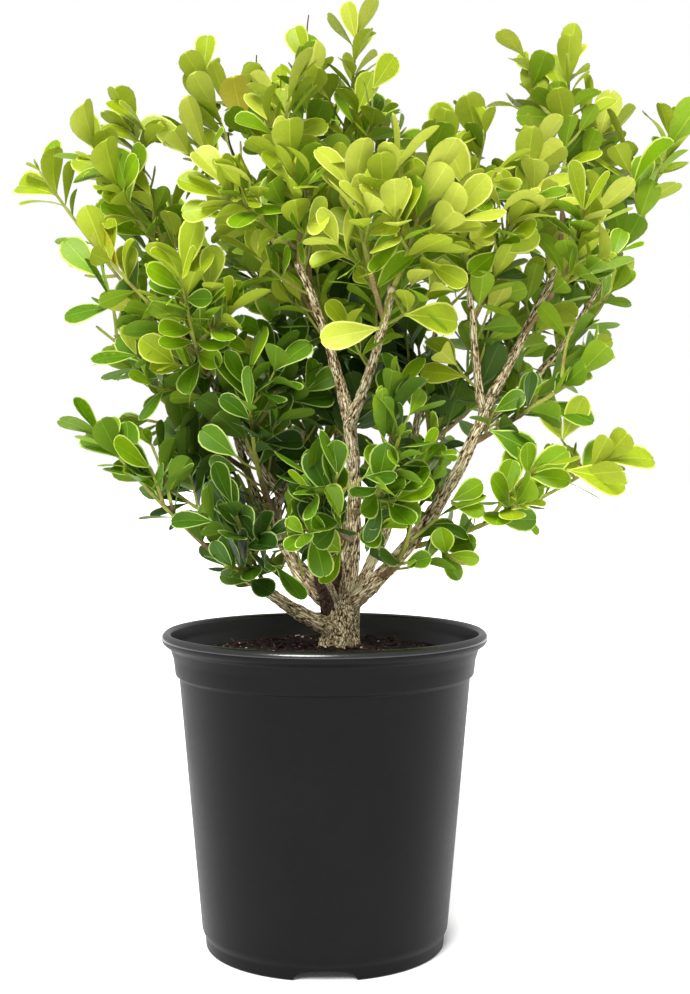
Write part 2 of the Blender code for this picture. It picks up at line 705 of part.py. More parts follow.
def is_sound(made):
    """Whether a fused mesh is free of slivers: edges or triangles too thin to keep apart."""
    work = bmesh.new()
    work.from_mesh(made.data)
    bmesh.ops.triangulate(work, faces=work.faces)
    shortest = min(edge.calc_length() for edge in work.edges)
    longest = [max(edge.calc_length() for edge in face.edges) for face in work.faces]
    thinnest = min(2 * face.calc_area() / length for face, length in zip(work.faces, longest))
    work.free()
    return shortest > SHORTEST_EDGE * MM and thinnest > THINNEST_FACE * MM


def make_spray(name, stems, leaves, limbs, limb, material):
    """One spray: its twigs and leaves fused, then cut clear of the limb that bears it.
    Leaf roots move and twigs slim by a hair until the fused mesh has no slivers."""
    for attempt in range(NUDGES):
        slimmer = 1 - 0.012 * attempt
        pieces = []
        for route, radii, _ in stems:
            pieces.append(mesh_object("twig", *tube(route, [r * slimmer for r in radii], TWIG_SIDES)))
        for number, (root, frame, length) in enumerate(leaves):
            nudge = frame[1] * NUDGE * attempt * math.sin(number + attempt)
            pieces.append(mesh_object("leaf", *leaf_solid(root + nudge, frame, length)))
        made = pieces[0]
        for piece in pieces:
            face_outwards(piece)
        applied(made, pieces[1:], "UNION")
        applied(made, limb_cutters(limbs, [limb]), "DIFFERENCE")
        keep_largest_shell(made)
        if is_sound(made):
            break
        if attempt < NUDGES - 1:
            bpy.data.objects.remove(made)
    made.name = name
    made.data.materials.clear()
    made.data.materials.append(material)


def main():
    for old in list(bpy.data.objects):
        bpy.data.objects.remove(old)
    black_plastic = plain_material("black_plastic", (0.018, 0.018, 0.019), 0.42)
    potting_mix = plain_material("potting_mix", (0.040, 0.026, 0.020), 0.95)
    bark = plain_material("bark", (0.36, 0.27, 0.16), 0.85)
    dead_wood = plain_material("dead_wood", (0.50, 0.44, 0.29), 0.85)
    foliage = plain_material("foliage", (0.17, 0.32, 0.03), 0.45)

    make_pot(black_plastic)
    make_soil(potting_mix)
    mesh_object("trunk", *trunk_solid(), bark)

    rng = random.Random(SEED)
    space = Space()
    limbs = grow_limbs(space)
    sprays = grow_stems(limbs, space, rng)
    leaves = grow_leaves(sprays, space, rng)
    make_limbs(limbs, bark, dead_wood)
    for name, limb, _, _, _, _ in SPRAYS:
        make_spray(name, sprays[name], leaves[name], limbs, limb, foliage)


if __name__ == "__main__":
    main()
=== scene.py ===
"""Looks of a young, unclipped boxwood shrub in a round black nursery pot.

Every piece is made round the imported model, in its frame: +Z up, the shrub's front towards -Y. Growth is
worked out in millimetres by the rule that grew the model's solids, then carried to finer twigs.
"""
import json
import math
import random

import bmesh
import bpy
from mathutils import Matrix, Vector, kdtree, noise
from mathutils.bvhtree import BVHTree

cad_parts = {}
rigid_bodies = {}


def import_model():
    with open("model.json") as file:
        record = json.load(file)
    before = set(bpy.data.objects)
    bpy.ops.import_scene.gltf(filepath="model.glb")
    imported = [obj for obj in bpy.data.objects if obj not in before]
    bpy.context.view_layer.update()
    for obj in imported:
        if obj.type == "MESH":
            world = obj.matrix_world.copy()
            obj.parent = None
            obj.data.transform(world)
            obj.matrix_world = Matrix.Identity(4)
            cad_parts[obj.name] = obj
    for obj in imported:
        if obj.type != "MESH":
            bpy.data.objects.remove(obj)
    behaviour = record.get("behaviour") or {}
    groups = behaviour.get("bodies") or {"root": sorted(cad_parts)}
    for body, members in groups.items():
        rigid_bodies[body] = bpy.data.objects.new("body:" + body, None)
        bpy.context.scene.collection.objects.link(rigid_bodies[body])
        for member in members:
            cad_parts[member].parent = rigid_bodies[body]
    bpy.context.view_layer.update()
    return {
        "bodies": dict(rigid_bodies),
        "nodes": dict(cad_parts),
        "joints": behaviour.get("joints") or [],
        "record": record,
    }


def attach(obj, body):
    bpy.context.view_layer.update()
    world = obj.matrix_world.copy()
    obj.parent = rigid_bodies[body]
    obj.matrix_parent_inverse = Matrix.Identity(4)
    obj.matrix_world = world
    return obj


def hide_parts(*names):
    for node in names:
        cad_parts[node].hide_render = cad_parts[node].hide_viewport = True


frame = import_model()


# ---------------------------------------------------------------- pot
# A trade nursery pot, blow-moulded in one thin wall of black plastic. Its lip is rolled over a stepped
# band, and its foot ring has three notches that let water out from under four drain holes. The plastic
# is satin, very finely pebbled by the mould, and a little dulled where it has been handled.

MM = 0.001
LIP_RADIUS = 82.5
POT_HEIGHT = 160.0
BODY_TOP_RADIUS = 73.8
BODY_BOTTOM_RADIUS = 62.6
FOOT_RADIUS = 60.6
FOOT_HEIGHT = 6.0
FOOT_STEP = 3.0
FOOT_RING = 3.4
WALL = 1.6
FLOOR_HEIGHT = 5.0
PAD_RADIUS = 24.0
LIP_ROLL = 3.2
POT_COLUMNS = 168
NOTCHES = 3
NOTCH_WIDTH = 30.0
NOTCH_HEIGHT = 4.8
NOTCH_SLOPE = 0.65
NOTCH_ROUNDING = 3.2
DRAIN_HOLES = 4
DRAIN_RADIUS = 5.0
DRAIN_CIRCLE = 42.0
DRILL_LENGTH = 12.0
DRILL_SIDES = 32
MOST_EASED = 0.45


def piece_from(name, points, faces, materials=()):
    """An object in the scene whose mesh has these points, given in millimetres."""
    mesh = bpy.data.meshes.new(name)
    mesh.from_pydata([Vector(p) * MM for p in points], [], faces)
    for material in materials:
        mesh.materials.append(material)
    made = bpy.data.objects.new(name, mesh)
    bpy.context.scene.collection.objects.link(made)
    return made


def smooth(made, angle):
    """Shades a piece smooth, with an edge sharp where it turns by more than this angle in degrees."""
    made.data.shade_smooth()
    made.data.set_sharp_from_angle(angle=math.radians(angle))


def plain_mesh(made):
    """Replaces an object's mesh by what its modifiers make of it, and removes them."""
    graph = bpy.context.evaluated_depsgraph_get()
    mesh = bpy.data.meshes.new_from_object(made.evaluated_get(graph), depsgraph=graph)
    made.modifiers.clear()
    old, made.data = made.data, mesh
    bpy.data.meshes.remove(old)


def stands_for(made, slot, *nodes):
    """Fixes a finished piece to the plant, in place of these nodes of the model."""
    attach(made, "root")
    if nodes:
        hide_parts(*nodes)


def eased(corners, steps=3):
    """An outline through corners of (radius, height, rounding), each corner eased by a short curve."""
    outline = []
    for before, corner, after in zip(corners[-1:] + corners[:-1], corners, corners[1:] + corners[:1]):
        here, rounding = Vector(corner[:2]), corner[2]
        if rounding == 0.0:
            outline.append(here)
            continue
        ends = []
        for other in (Vector(before[:2]), Vector(after[:2])):
            away = other - here
            ends.append(here + away * min(MOST_EASED, rounding / away.length))
        for step in range(steps + 1):
            t = step / steps
            outline.append(ends[0] * (1 - t) ** 2 + here * (2 * t * (1 - t)) + ends[1] * t**2)
    return outline


def turned(outline, columns):
    """Points and faces of a closed outline turned about Z. A point on the axis is made once."""
    points, rings, faces = [], [], []
    for radius, height in outline:
        if radius == 0.0:
            rings.append([len(points)] * columns)
            points.append(Vector((0, 0, height)))
            continue
        rings.append([len(points) + i for i in range(columns)])
        for i in range(columns):
            turn = math.tau * i / columns
            points.append(Vector((radius * math.cos(turn), radius * math.sin(turn), height)))
    for low, high in zip(rings, rings[1:] + rings[:1]):
        if low[0] == low[1] and high[0] == high[1]:
            continue
        for i in range(columns):
            j = (i + 1) % columns
            faces.append(list(dict.fromkeys((low[i], low[j], high[j], high[i]))))
    return points, faces


def socket(sockets, name):
    """The socket of this name that the node shows, of the several that some nodes hold."""
    return next(found for found in sockets if found.name == name and found.enabled)


def node(tree, kind, inputs=None, **settings):
    """A node with these settings. An input is given a value, or the socket that feeds it."""
    made = tree.nodes.new(kind)
    for name, value in settings.items():
        setattr(made, name, value)
    for name, value in (inputs or {}).items():
        target = made.inputs[name] if isinstance(name, int) else socket(made.inputs, name)
        if isinstance(value, bpy.types.NodeSocket):
            tree.links.new(value, target)
        else:
            target.default_value = value
    return made


def paint(red, green, blue):
    """A colour given as it looks on a screen, from 0 to 255, as the shader's linear colour."""
    linear = []
    for part in (red, green, blue):
        part /= 255
        linear.append(part / 12.92 if part <= 0.04045 else ((part + 0.055) / 1.055) ** 2.4)
    return (*linear, 1.0)


def new_material(name, roughness, metallic=0.0, **more):
    """A material with its shader, whose constants are set on the shader's own sockets."""
    material = bpy.data.materials.new(name)
    material.use_nodes = True
    shader = material.node_tree.nodes["Principled BSDF"]
    shader.inputs["Roughness"].default_value = roughness
    shader.inputs["Metallic"].default_value = metallic
    for name, value in more.items():
        shader.inputs[name.replace("_", " ")].default_value = value
    return material, material.node_tree, shader


def spread(tree, value, low, high):
    """A value from low to high stretched to run from 0 to 1."""
    limits = {"Value": value, "From Min": low, "From Max": high}
    return node(tree, "ShaderNodeMapRange", limits).outputs["Result"]


def make_mottle():
    """Shader group: wide soft patches with a finer grain in them, as one mask from 0 to 1."""
    group = bpy.data.node_groups.new("mottle", "ShaderNodeTree")
    for name, start in (("Patch Scale", 60.0), ("Grain Scale", 600.0), ("Grain Share", 0.4)):
        made = group.interface.new_socket(name=name, in_out="INPUT", socket_type="NodeSocketFloat")
        made.default_value = start
    group.interface.new_socket(name="Mask", in_out="OUTPUT", socket_type="NodeSocketFloat")
    given = node(group, "NodeGroupInput").outputs
    place = node(group, "ShaderNodeTexCoord").outputs["Object"]
    wide = {"Vector": place, "Scale": given["Patch Scale"], "Detail": 2.0}
    patches = node(group, "ShaderNodeTexNoise", wide)
    close = {"Vector": place, "Scale": given["Grain Scale"], "Detail": 3.0}
    grain = node(group, "ShaderNodeTexNoise", close)
    both = node(
        group,
        "ShaderNodeMix",
        {"Factor": given["Grain Share"], "A": patches.outputs["Fac"], "B": grain.outputs["Fac"]},
    )
    node(group, "NodeGroupOutput", {"Mask": spread(group, both.outputs["Result"], 0.3, 0.7)})
    return group


mottle_group = make_mottle()


def mottled(tree, patch, grain, share):
    """The mottle mask in a material, with patches and grain of these scales."""
    scales = {"Patch Scale": patch, "Grain Scale": grain, "Grain Share": share}
    return node(tree, "ShaderNodeGroup", scales, node_tree=mottle_group).outputs["Mask"]


def between(tree, mask, low, high):
    """A number that runs from low to high as the mask runs from 0 to 1."""
    limits = {"Value": mask, "To Min": low, "To Max": high}
    return node(tree, "ShaderNodeMapRange", limits).outputs["Result"]


def blended(tree, mask, low, high):
    """A colour that runs from low to high as the mask runs from 0 to 1."""
    made = node(tree, "ShaderNodeMix", {"Factor": mask, "A": low, "B": high}, data_type="RGBA")
    return socket(made.outputs, "Result")


def raised(tree, shader, height, distance, strength=1.0):
    """Feeds a height, in metres when the mask is 1, to a shader's normal."""
    bump = node(tree, "ShaderNodeBump", {"Height": height, "Distance": distance, "Strength": strength})
    tree.links.new(bump.outputs["Normal"], shader.inputs["Normal"])


def black_plastic_material(name, dark, light, gloss, smoothest, roughest):
    """Satin black plastic, a little lighter and duller in patches, with the fine pebbles of the mould."""
    dark, light = paint(*dark), paint(*light)
    material, tree, shader = new_material(name, roughness=roughest, Specular_IOR_Level=gloss)
    handled = mottled(tree, patch=22.0, grain=340.0, share=0.35)
    tree.links.new(blended(tree, handled, dark, light), shader.inputs["Base Color"])
    tree.links.new(between(tree, handled, smoothest, roughest), shader.inputs["Roughness"])
    place = node(tree, "ShaderNodeTexCoord").outputs["Object"]
    pebbles = node(tree, "ShaderNodeTexNoise", {"Vector": place, "Scale": 1400.0, "Detail": 1.0})
    raised(tree, shader, pebbles.outputs["Fac"], 0.00004)
    return material


pot_corners = [
    # radius, height, rounding: up the outside
    (FOOT_RADIUS, 0.0, 0.9),
    (FOOT_RADIUS + 0.4, FOOT_HEIGHT, 0.8),
    (BODY_BOTTOM_RADIUS, FOOT_HEIGHT + FOOT_STEP, 1.6),
    (BODY_TOP_RADIUS, POT_HEIGHT - 22.8, 0.6),
    (BODY_TOP_RADIUS + 1.9, POT_HEIGHT - 21.4, 0.6),
    (BODY_TOP_RADIUS + 2.8, POT_HEIGHT - 13.6, 0.9),
    (BODY_TOP_RADIUS + 4.5, POT_HEIGHT - 8.2, 0.7),
    (LIP_RADIUS - 0.9, POT_HEIGHT - 5.9, 0.6),
    (LIP_RADIUS, POT_HEIGHT - 4.2, 0.8),
    (LIP_RADIUS, POT_HEIGHT - 2.0, 1.0),
    (LIP_RADIUS - 2.2, POT_HEIGHT, 0.9),
    # down the inside
    (BODY_TOP_RADIUS + 4.2, POT_HEIGHT - 1.2, 0.9),
    (BODY_TOP_RADIUS + 2.9, POT_HEIGHT - 8.4, 1.4),
    (BODY_TOP_RADIUS + 0.6, POT_HEIGHT - 13.6, 1.2),
    (BODY_TOP_RADIUS - 0.4, POT_HEIGHT - 21.2, 0.8),
    (BODY_TOP_RADIUS - WALL, POT_HEIGHT - 23.4, 0.8),
    (BODY_BOTTOM_RADIUS - WALL, FOOT_HEIGHT + FOOT_STEP - 0.6, 1.4),
    # in along the floor and back out along its underside
    (FOOT_RADIUS - 2.2, FLOOR_HEIGHT + WALL, 1.0),
    (PAD_RADIUS + 1.6, FLOOR_HEIGHT + WALL, 1.0),
    (PAD_RADIUS - 1.6, WALL, 1.0),
    (0.0, WALL, 0.0),
    (0.0, 0.0, 0.0),
    (PAD_RADIUS, 0.0, 1.0),
    (PAD_RADIUS + 3.2, FLOOR_HEIGHT, 1.0),
    (FOOT_RADIUS - FOOT_RING, FLOOR_HEIGHT, 0.8),
    (FOOT_RADIUS - FOOT_RING, 0.0, 0.9),
]
pot_points, pot_faces = turned(eased(pot_corners), POT_COLUMNS)
for point in pot_points:
    if point.z >= FLOOR_HEIGHT or math.hypot(point.x, point.y) < FOOT_RADIUS - FOOT_RING - 1:
        continue
    for i in range(NOTCHES):
        middle = math.tau * i / NOTCHES - math.pi / 2
        off = math.remainder(math.atan2(point.y, point.x) - middle, math.tau) * FOOT_RADIUS
        share = abs(off) / (NOTCH_WIDTH / 2)
        if share < 1.0:
            arch = NOTCH_HEIGHT * (1 - NOTCH_SLOPE * share**NOTCH_ROUNDING)
            point.z = arch + point.z * (1 - arch / FLOOR_HEIGHT)
body_finish = black_plastic_material("black_plastic_satin", (11, 11, 12), (17, 17, 18), 0.10, 0.36, 0.48)
lip_finish = black_plastic_material("black_plastic_lip", (12, 12, 13), (17, 17, 18), 0.9, 0.20, 0.28)
# The lining is painted a little lighter than the outside, as painted light on the inner wall.
lining_finish = black_plastic_material("black_plastic_lining_painted_light", (14, 14, 15), (21, 20, 20), 0.5, 0.34, 0.46)
pot = piece_from("nursery_pot", pot_points, pot_faces, [body_finish, lip_finish, lining_finish])
drains = bpy.data.collections.new("drains")
bpy.context.scene.collection.children.link(drains)
for i in range(DRAIN_HOLES):
    turn = math.tau * (i + 0.5) / DRAIN_HOLES
    centre = Vector((math.cos(turn), math.sin(turn), 0)) * DRAIN_CIRCLE * MM
    work = bmesh.new()
    bmesh.ops.create_cone(
        work,
        cap_ends=True,
        segments=DRILL_SIDES,
        radius1=DRAIN_RADIUS * MM,
        radius2=DRAIN_RADIUS * MM,
        depth=DRILL_LENGTH * MM,
        matrix=Matrix.Translation(centre + Vector((0, 0, (FLOOR_HEIGHT + WALL / 2) * MM))),
    )
    drill = bpy.data.meshes.new("drain")
    work.to_mesh(drill)
    work.free()
    drains.objects.link(bpy.data.objects.new("drain", drill))
drilled = pot.modifiers.new("drains", "BOOLEAN")
drilled.operand_type = "COLLECTION"
drilled.collection = drains
drilled.solver = "MANIFOLD"
plain_mesh(pot)
for drain in list(drains.objects):
    bpy.data.objects.remove(drain)
bpy.data.collections.remove(drains)
smooth(pot, 35)
for face in pot.data.polygons:
    radius = math.hypot(face.center.x, face.center.y) / MM
    height = face.center.z / MM
    if height > POT_HEIGHT - LIP_ROLL:
        face.material_index = 1
    elif height > FLOOR_HEIGHT + WALL and face.normal.x * face.center.x + face.normal.y * face.center.y < 0:
        face.material_index = 2
    else:
        face.material_index = 0
stands_for(pot, "black_plastic", "pot")


# ---------------------------------------------------------------- potting mix
# A dark peat and bark mix that fills the pot. It is mounded round the foot of the stem and has settled
# lower at the wall. Chips of bark, tan fibres and a few white perlite grains lie loose on it.

SOIL_LEVEL = 151.5
SOIL_EDGE_DROP = 7.5
SOIL_FALL = 2.4
SOIL_FLAT_RADIUS = 22.0
SOIL_EDGE_RADIUS = BODY_TOP_RADIUS - 0.2
SOIL_COLUMNS = 150
SOIL_RINGS = 52
LUMPS = ((7.0, 1.3), (2.4, 0.7), (1.0, 0.3))
LOOSE_BITS = {
    "bark_chips": (1500, (1.6, 5.2), paint(60, 43, 37), paint(21, 13, 12)),
    "tan_fibres": (110, (4.0, 9.0), paint(100, 78, 58), paint(58, 42, 32)),
    "pale_grit": (420, (0.7, 1.6), paint(150, 112, 112), paint(96, 62, 62)),
    "perlite_grains": (120, (0.9, 2.0), paint(236, 222, 218), paint(190, 168, 164)),
}
BIT_SHAPES = 4
BIT_UNEVENNESS = (0.72, 1.28)
BIT_TILT = (0.35, 0.25)
BIT_LIFT = 0.06
CHIP_STRETCH = (0.5, 0.30, 0.13)
GRAIN_STRETCH = (0.5, 0.44, 0.38)
FIBRE_RINGS = 4
FIBRE_SIDES = 3
FIBRE_BEND = 0.14
FIBRE_RADIUS = 0.045
SOIL_SEED = 5
SOIL_GAP = 0.3


def soil_top(x, y):
    """How high the mix lies at a place: the mound, with lumps of several sizes on it."""
    radius = math.hypot(x, y)
    share = max(0.0, radius - SOIL_FLAT_RADIUS) / (BODY_TOP_RADIUS - SOIL_FLAT_RADIUS)
    height = SOIL_LEVEL - SOIL_EDGE_DROP * share**SOIL_FALL
    for size, rise in LUMPS:
        height += rise * noise.noise(Vector((x / size, y / size, size)))
    return height


def placing_tree(name, parts):
    """A tree that sets shapes on points, by each point's own turn, size and shape number. Each numbered
    part of a shape gets its own material."""
    tree = bpy.data.node_groups.new(name, "GeometryNodeTree")
    inputs = [("Points", "Geometry"), ("Shapes", "Collection"), ("Size", "Float")]
    for label, kind in inputs + [(part, "Material") for part in parts]:
        tree.interface.new_socket(name=label, in_out="INPUT", socket_type="NodeSocket" + kind)
    tree.interface.new_socket(name="Pieces", in_out="OUTPUT", socket_type="NodeSocketGeometry")
    given = node(tree, "NodeGroupInput").outputs

    def stored(attribute, kind):
        found = node(tree, "GeometryNodeInputNamedAttribute", {"Name": attribute}, data_type=kind)
        return socket(found.outputs, "Attribute")

    shapes = node(
        tree,
        "GeometryNodeCollectionInfo",
        {"Collection": given["Shapes"], "Separate Children": True, "Reset Children": True},
    )
    turn = node(tree, "FunctionNodeEulerToRotation", {"Euler": stored("turn", "FLOAT_VECTOR")})
    size = node(
        tree,
        "ShaderNodeVectorMath",
        {"Vector": stored("size", "FLOAT_VECTOR"), "Scale": given["Size"]},
        operation="SCALE",
    )
    placed = node(
        tree,
        "GeometryNodeInstanceOnPoints",
        {
            "Points": given["Points"],
            "Instance": shapes.outputs["Instances"],
            "Pick Instance": True,
            "Instance Index": stored("shape", "INT"),
            "Rotation": turn.outputs["Rotation"],
            "Scale": size.outputs["Vector"],
        },
    )
    made = node(tree, "GeometryNodeRealizeInstances", {"Geometry": placed.outputs["Instances"]})
    for number, part in enumerate(parts):
        is_part = node(
            tree,
            "FunctionNodeCompare",
            {"A": stored("part", "INT"), "B": number},
            data_type="INT",
            operation="EQUAL",
        )
        made = node(
            tree,
            "GeometryNodeSetMaterial",
            {
                "Geometry": made.outputs["Geometry"],
                "Selection": is_part.outputs["Result"],
                "Material": given[part],
            },
        )
    node(tree, "NodeGroupOutput", {"Pieces": made.outputs["Geometry"]})
    return tree


def placed_on(name, tree, shapes, size, materials, points):
    """One piece: a shape set on each point, a (place, turn, scale, shape number) in millimetres."""
    made = piece_from(name, [place for place, _, _, _ in points], [])
    columns = (
        ("turn", "FLOAT_VECTOR", "vector", [x for _, turn, _, _ in points for x in turn]),
        ("size", "FLOAT_VECTOR", "vector", [x for _, _, scale, _ in points for x in scale]),
        ("shape", "INT", "value", [shape for _, _, _, shape in points]),
    )
    for label, kind, field, values in columns:
        made.data.attributes.new(label, kind, "POINT").data.foreach_set(field, values)
    modifier = made.modifiers.new("placing", "NODES")
    modifier.node_group = tree
    given = {"Shapes": shapes, "Size": size, **materials}
    for item in tree.interface.items_tree:
        if item.in_out == "INPUT" and item.name in given:
            modifier[item.identifier] = given[item.name]
    plain_mesh(made)
    for label in ("turn", "size", "shape", "part"):
        if label in made.data.attributes:
            made.data.attributes.remove(made.data.attributes[label])
    return made


def shape_collection(name, made):
    """A collection, out of the scene, that holds these shapes for a tree to pick from."""
    held = bpy.data.collections.new(name)
    for shape in made:
        bpy.context.scene.collection.objects.unlink(shape)
        held.objects.link(shape)
    return held


def remove_shapes(held):
    """Deletes shapes that have been placed, and the collection that held them."""
    for shape in list(held.objects):
        bpy.data.objects.remove(shape)
    bpy.data.collections.remove(held)


def part_numbers(made, numbers):
    """Stores which part of its shape each face belongs to."""
    made.data.attributes.new("part", "INT", "FACE").data.foreach_set("value", numbers)


def bit_shape(kind, number, rng):
    """A loose bit in unit length: a flat chip, a thin bent fibre or a round grain."""
    if kind == "tan_fibres":
        points, faces = [], []
        bends = [rng.uniform(-FIBRE_BEND, FIBRE_BEND) for _ in range(FIBRE_RINGS)]
        for ring, bend in enumerate(bends):
            along = ring / (FIBRE_RINGS - 1) - 0.5
            for k in range(FIBRE_SIDES):
                turn = math.tau * k / FIBRE_SIDES
                round_it = (FIBRE_RADIUS * math.cos(turn), FIBRE_RADIUS * math.sin(turn))
                points.append(Vector((along, bend + round_it[0], round_it[1])))
            for k in range(FIBRE_SIDES if ring else 0):
                a, b = [(ring - 1) * FIBRE_SIDES + corner for corner in (k, (k + 1) % FIBRE_SIDES)]
                faces.append((a, a + FIBRE_SIDES, b + FIBRE_SIDES, b))
        faces += [(0, 1, 2), (11, 10, 9)]
    else:
        stretch = CHIP_STRETCH if kind == "bark_chips" else GRAIN_STRETCH
        work = bmesh.new()
        bmesh.ops.create_icosphere(work, subdivisions=1, radius=1.0)
        points = [
            Vector(v.co[i] * stretch[i] * rng.uniform(*BIT_UNEVENNESS) for i in range(3)) for v in work.verts
        ]
        faces = [[v.index for v in face.verts] for face in work.faces]
        work.free()
    made = piece_from(f"{kind}_{number}", [point / MM for point in points], faces)
    part_numbers(made, [0] * len(faces))
    return made


def mix_material(name, light, dark, relief):
    """Dull, crumbly stuff that runs from dark to light, raised where it is light."""
    material, tree, shader = new_material(name, roughness=0.95, Specular_IOR_Level=0.25)
    crumbs = mottled(tree, patch=260.0, grain=1500.0, share=0.6)
    tree.links.new(blended(tree, crumbs, dark, light), shader.inputs["Base Color"])
    raised(tree, shader, crumbs, relief)
    return material


pad_top = WALL + SOIL_GAP
floor_top = FLOOR_HEIGHT + WALL + SOIL_GAP
soil_outline = [
    # radius, height: over the pad and the floor, up the wall to the first step and past it
    (0.0, pad_top),
    (PAD_RADIUS - 1.9, pad_top),
    (PAD_RADIUS + 1.3, floor_top),
    (FOOT_RADIUS - 2.7, floor_top),
    (BODY_BOTTOM_RADIUS - 2.1, FOOT_HEIGHT + FOOT_STEP - 0.4),
    (BODY_TOP_RADIUS - 2.1, POT_HEIGHT - 24.0),
    (BODY_TOP_RADIUS - 1.0, POT_HEIGHT - 20.8),
]
for ring in range(SOIL_RINGS, -1, -1):
    soil_outline.append((SOIL_EDGE_RADIUS * ring / SOIL_RINGS, SOIL_LEVEL))
soil_points, soil_faces = turned(soil_outline, SOIL_COLUMNS)
for point in soil_points:
    if point.z == SOIL_LEVEL:
        point.z = soil_top(point.x, point.y)
soil = piece_from(
    "potting_mix",
    soil_points,
    soil_faces,
    [mix_material("potting_mix_dark", paint(47, 35, 31), paint(16, 10, 9), 0.0009)],
)
smooth(soil, 60)
stands_for(soil, "potting_mix", "soil")

bit_tree = placing_tree("bits_on_the_mix", ("Finish",))
rng = random.Random(SOIL_SEED)
for kind, (count, lengths, light, dark) in LOOSE_BITS.items():
    shapes = shape_collection(kind, [bit_shape(kind, number, rng) for number in range(BIT_SHAPES)])
    points = []
    for _ in range(count):
        radius = SOIL_EDGE_RADIUS * math.sqrt(rng.uniform(0.01, 0.96))
        turn = rng.uniform(0, math.tau)
        x, y = radius * math.cos(turn), radius * math.sin(turn)
        length = rng.uniform(*lengths)
        tilt = (rng.gauss(0, BIT_TILT[0]), rng.gauss(0, BIT_TILT[1]), rng.uniform(0, math.tau))
        place = Vector((x, y, soil_top(x, y) + BIT_LIFT * length))
        points.append((place, tilt, (length,) * 3, rng.randrange(BIT_SHAPES)))
    finish = {"Finish": mix_material(kind + "_finish", light, dark, 0.0003)}
    bits = placed_on(kind, bit_tree, shapes, MM, finish, points)
    stands_for(bits, "potting_mix", "soil")
    remove_shapes(shapes)


# ---------------------------------------------------------------- trunk and boughs
# Old wood: a short trunk that flares where it leaves the mix and forks low into crooked boughs, which
# taper into the crown. It is one skin, since wood grows together at a fork. Its tan, corky bark has
# split into ridges and small long plates, with dark brown cracks between them.

GAP = 0.3
SKIP_MARGIN = 0.25
TRUNK_FOOT = Vector((6.5, 0.0, SOIL_LEVEL + GAP))
TRUNK_FORK = Vector((11.0, 1.0, 177.0))
TRUNK_FOOT_RADIUS = 9.6
TRUNK_FORK_RADIUS = 7.6
ROOT_FLARE = 0.14
ROOT_SPREAD = 1.2
ROOT_LOBES = 5
ROOT_DEPTH = 2.5
TRUNK_TAPER = 0.7
TRUNK_RINGS = 16
TRUNK_COLUMNS = 30
LIMB_POINTS = 6
TRUNK_POINTS = 5
CLEARING_SIDES = 8
# name, limb it grows from, share of the way up that limb, tip, bow at mid-way, radii
LIMBS = (
    ("bough_centre", "trunk", 0.94, (11, -30, 272), (8, 2, -4), 4.5, 3.2),
    ("bough_right", "trunk", 0.72, (80, -35, 276), (13, -14, -9), 4.6, 2.9),
    ("bough_left", "trunk", 0.62, (-23, 20, 232), (-25, 12, -8), 3.4, 2.3),
    ("bough_low_left", "trunk", 0.24, (-49, -20, 195), (-3, -6, -1), 5.4, 1.8),
    ("bough_back", "trunk", 0.90, (6, 58, 318), (-2, 16, -16), 4.0, 2.3),
    ("bough_back_left", "trunk", 0.66, (-52, 74, 276), (-20, 12, -12), 3.4, 2.1),
    ("bough_back_right", "trunk", 0.70, (54, 78, 284), (12, 14, -14), 3.6, 2.1),
    ("cut_stub", "trunk", 0.74, (-8, -32, 209), (-3, -5, 0), 1.8, 1.4),
    ("bough_centre_left", "bough_centre", 0.96, (-13, -56, 340), (3, -3, 2), 3.1, 1.9),
    ("bough_centre_right", "bough_centre", 0.93, (31, -72, 327), (2, -2, -6), 3.0, 2.0),
    ("bough_right_outer", "bough_right", 0.97, (117, -20, 344), (-3, 0, -4), 2.8, 1.8),
    ("bough_right_inner", "bough_right", 0.94, (69, -44, 333), (-3, -2, 0), 2.3, 1.6),
    ("bough_far_right", "bough_right", 0.88, (147, 12, 347), (10, 22, -12), 2.2, 1.4),
    ("bough_left_outer", "bough_left", 0.96, (-65, -10, 304), (-4, 5, -6), 2.5, 1.5),
    ("bough_left_inner", "bough_left", 0.90, (-8, 46, 286), (4, 8, -8), 2.1, 1.5),
    ("old_stump", "trunk", 0.50, (1, 9, 195), (-3, 2, 0), 7.4, 7.0),
)
DEAD_LIMBS = ("cut_stub", "old_stump")
LIMB_TAPER = 1.4
LIMB_STEP = 2.0
LIMB_COLUMNS = 18
LIMB_GIRTH = 0.93
COLLAR = (0.22, 7.0)
COLLAR_AT_TRUNK = 0.6
KNUCKLES = (17.0, 0.10)
KNUCKLE_WIDTH = 2.2
SWAY = 1.1
SWAY_LENGTH = 16
SKIN_CELL = 0.6
GROOVE_WIDTH = 1.75
GROOVE_LENGTH = 5.6
GROOVE_DEPTH = 0.8
FLAKE_SIZE = 1.1
FLAKE_DEPTH = 0.28
PLATE_SIZE = (1.1, 2.3)
BOUGH_PLATES = 3.4
BARK_SEED = 3
SWAY_SEED = 1
# Painted shade: the living bark is darkened round this place in the fork, over these distances, standing in
# for the fork's shadow.
FORK_SHADE = Vector((4, 5, 182))
SHADE_REACH = (0.007, 0.017)

# Limbs waver by a noise whose seed is fixed here, so that the same shrub grows at every run.
noise.seed_set(SWAY_SEED)


def bent_route(start, tip, bow, count):
    """A smooth route from start to tip that swings out by half of bow at mid-way."""
    control = (start + tip) / 2 + bow
    route = []
    for i in range(count):
        t = i / (count - 1)
        route.append(start * (1 - t) ** 2 + control * (2 * t * (1 - t)) + tip * t**2)
    return route


def tapered(base, end, count):
    """Radii that run evenly from base to end."""
    return [base + (end - base) * i / (count - 1) for i in range(count)]


def point_on(route, share):
    """The point that lies this share of the way along a route, and the direction there."""
    place = share * (len(route) - 1)
    i = min(int(place), len(route) - 2)
    return route[i].lerp(route[i + 1], place - i), (route[i + 1] - route[i]).normalized()


def route_length(route):
    """How long a route is, from point to point."""
    return sum((b - a).length for a, b in zip(route, route[1:]))


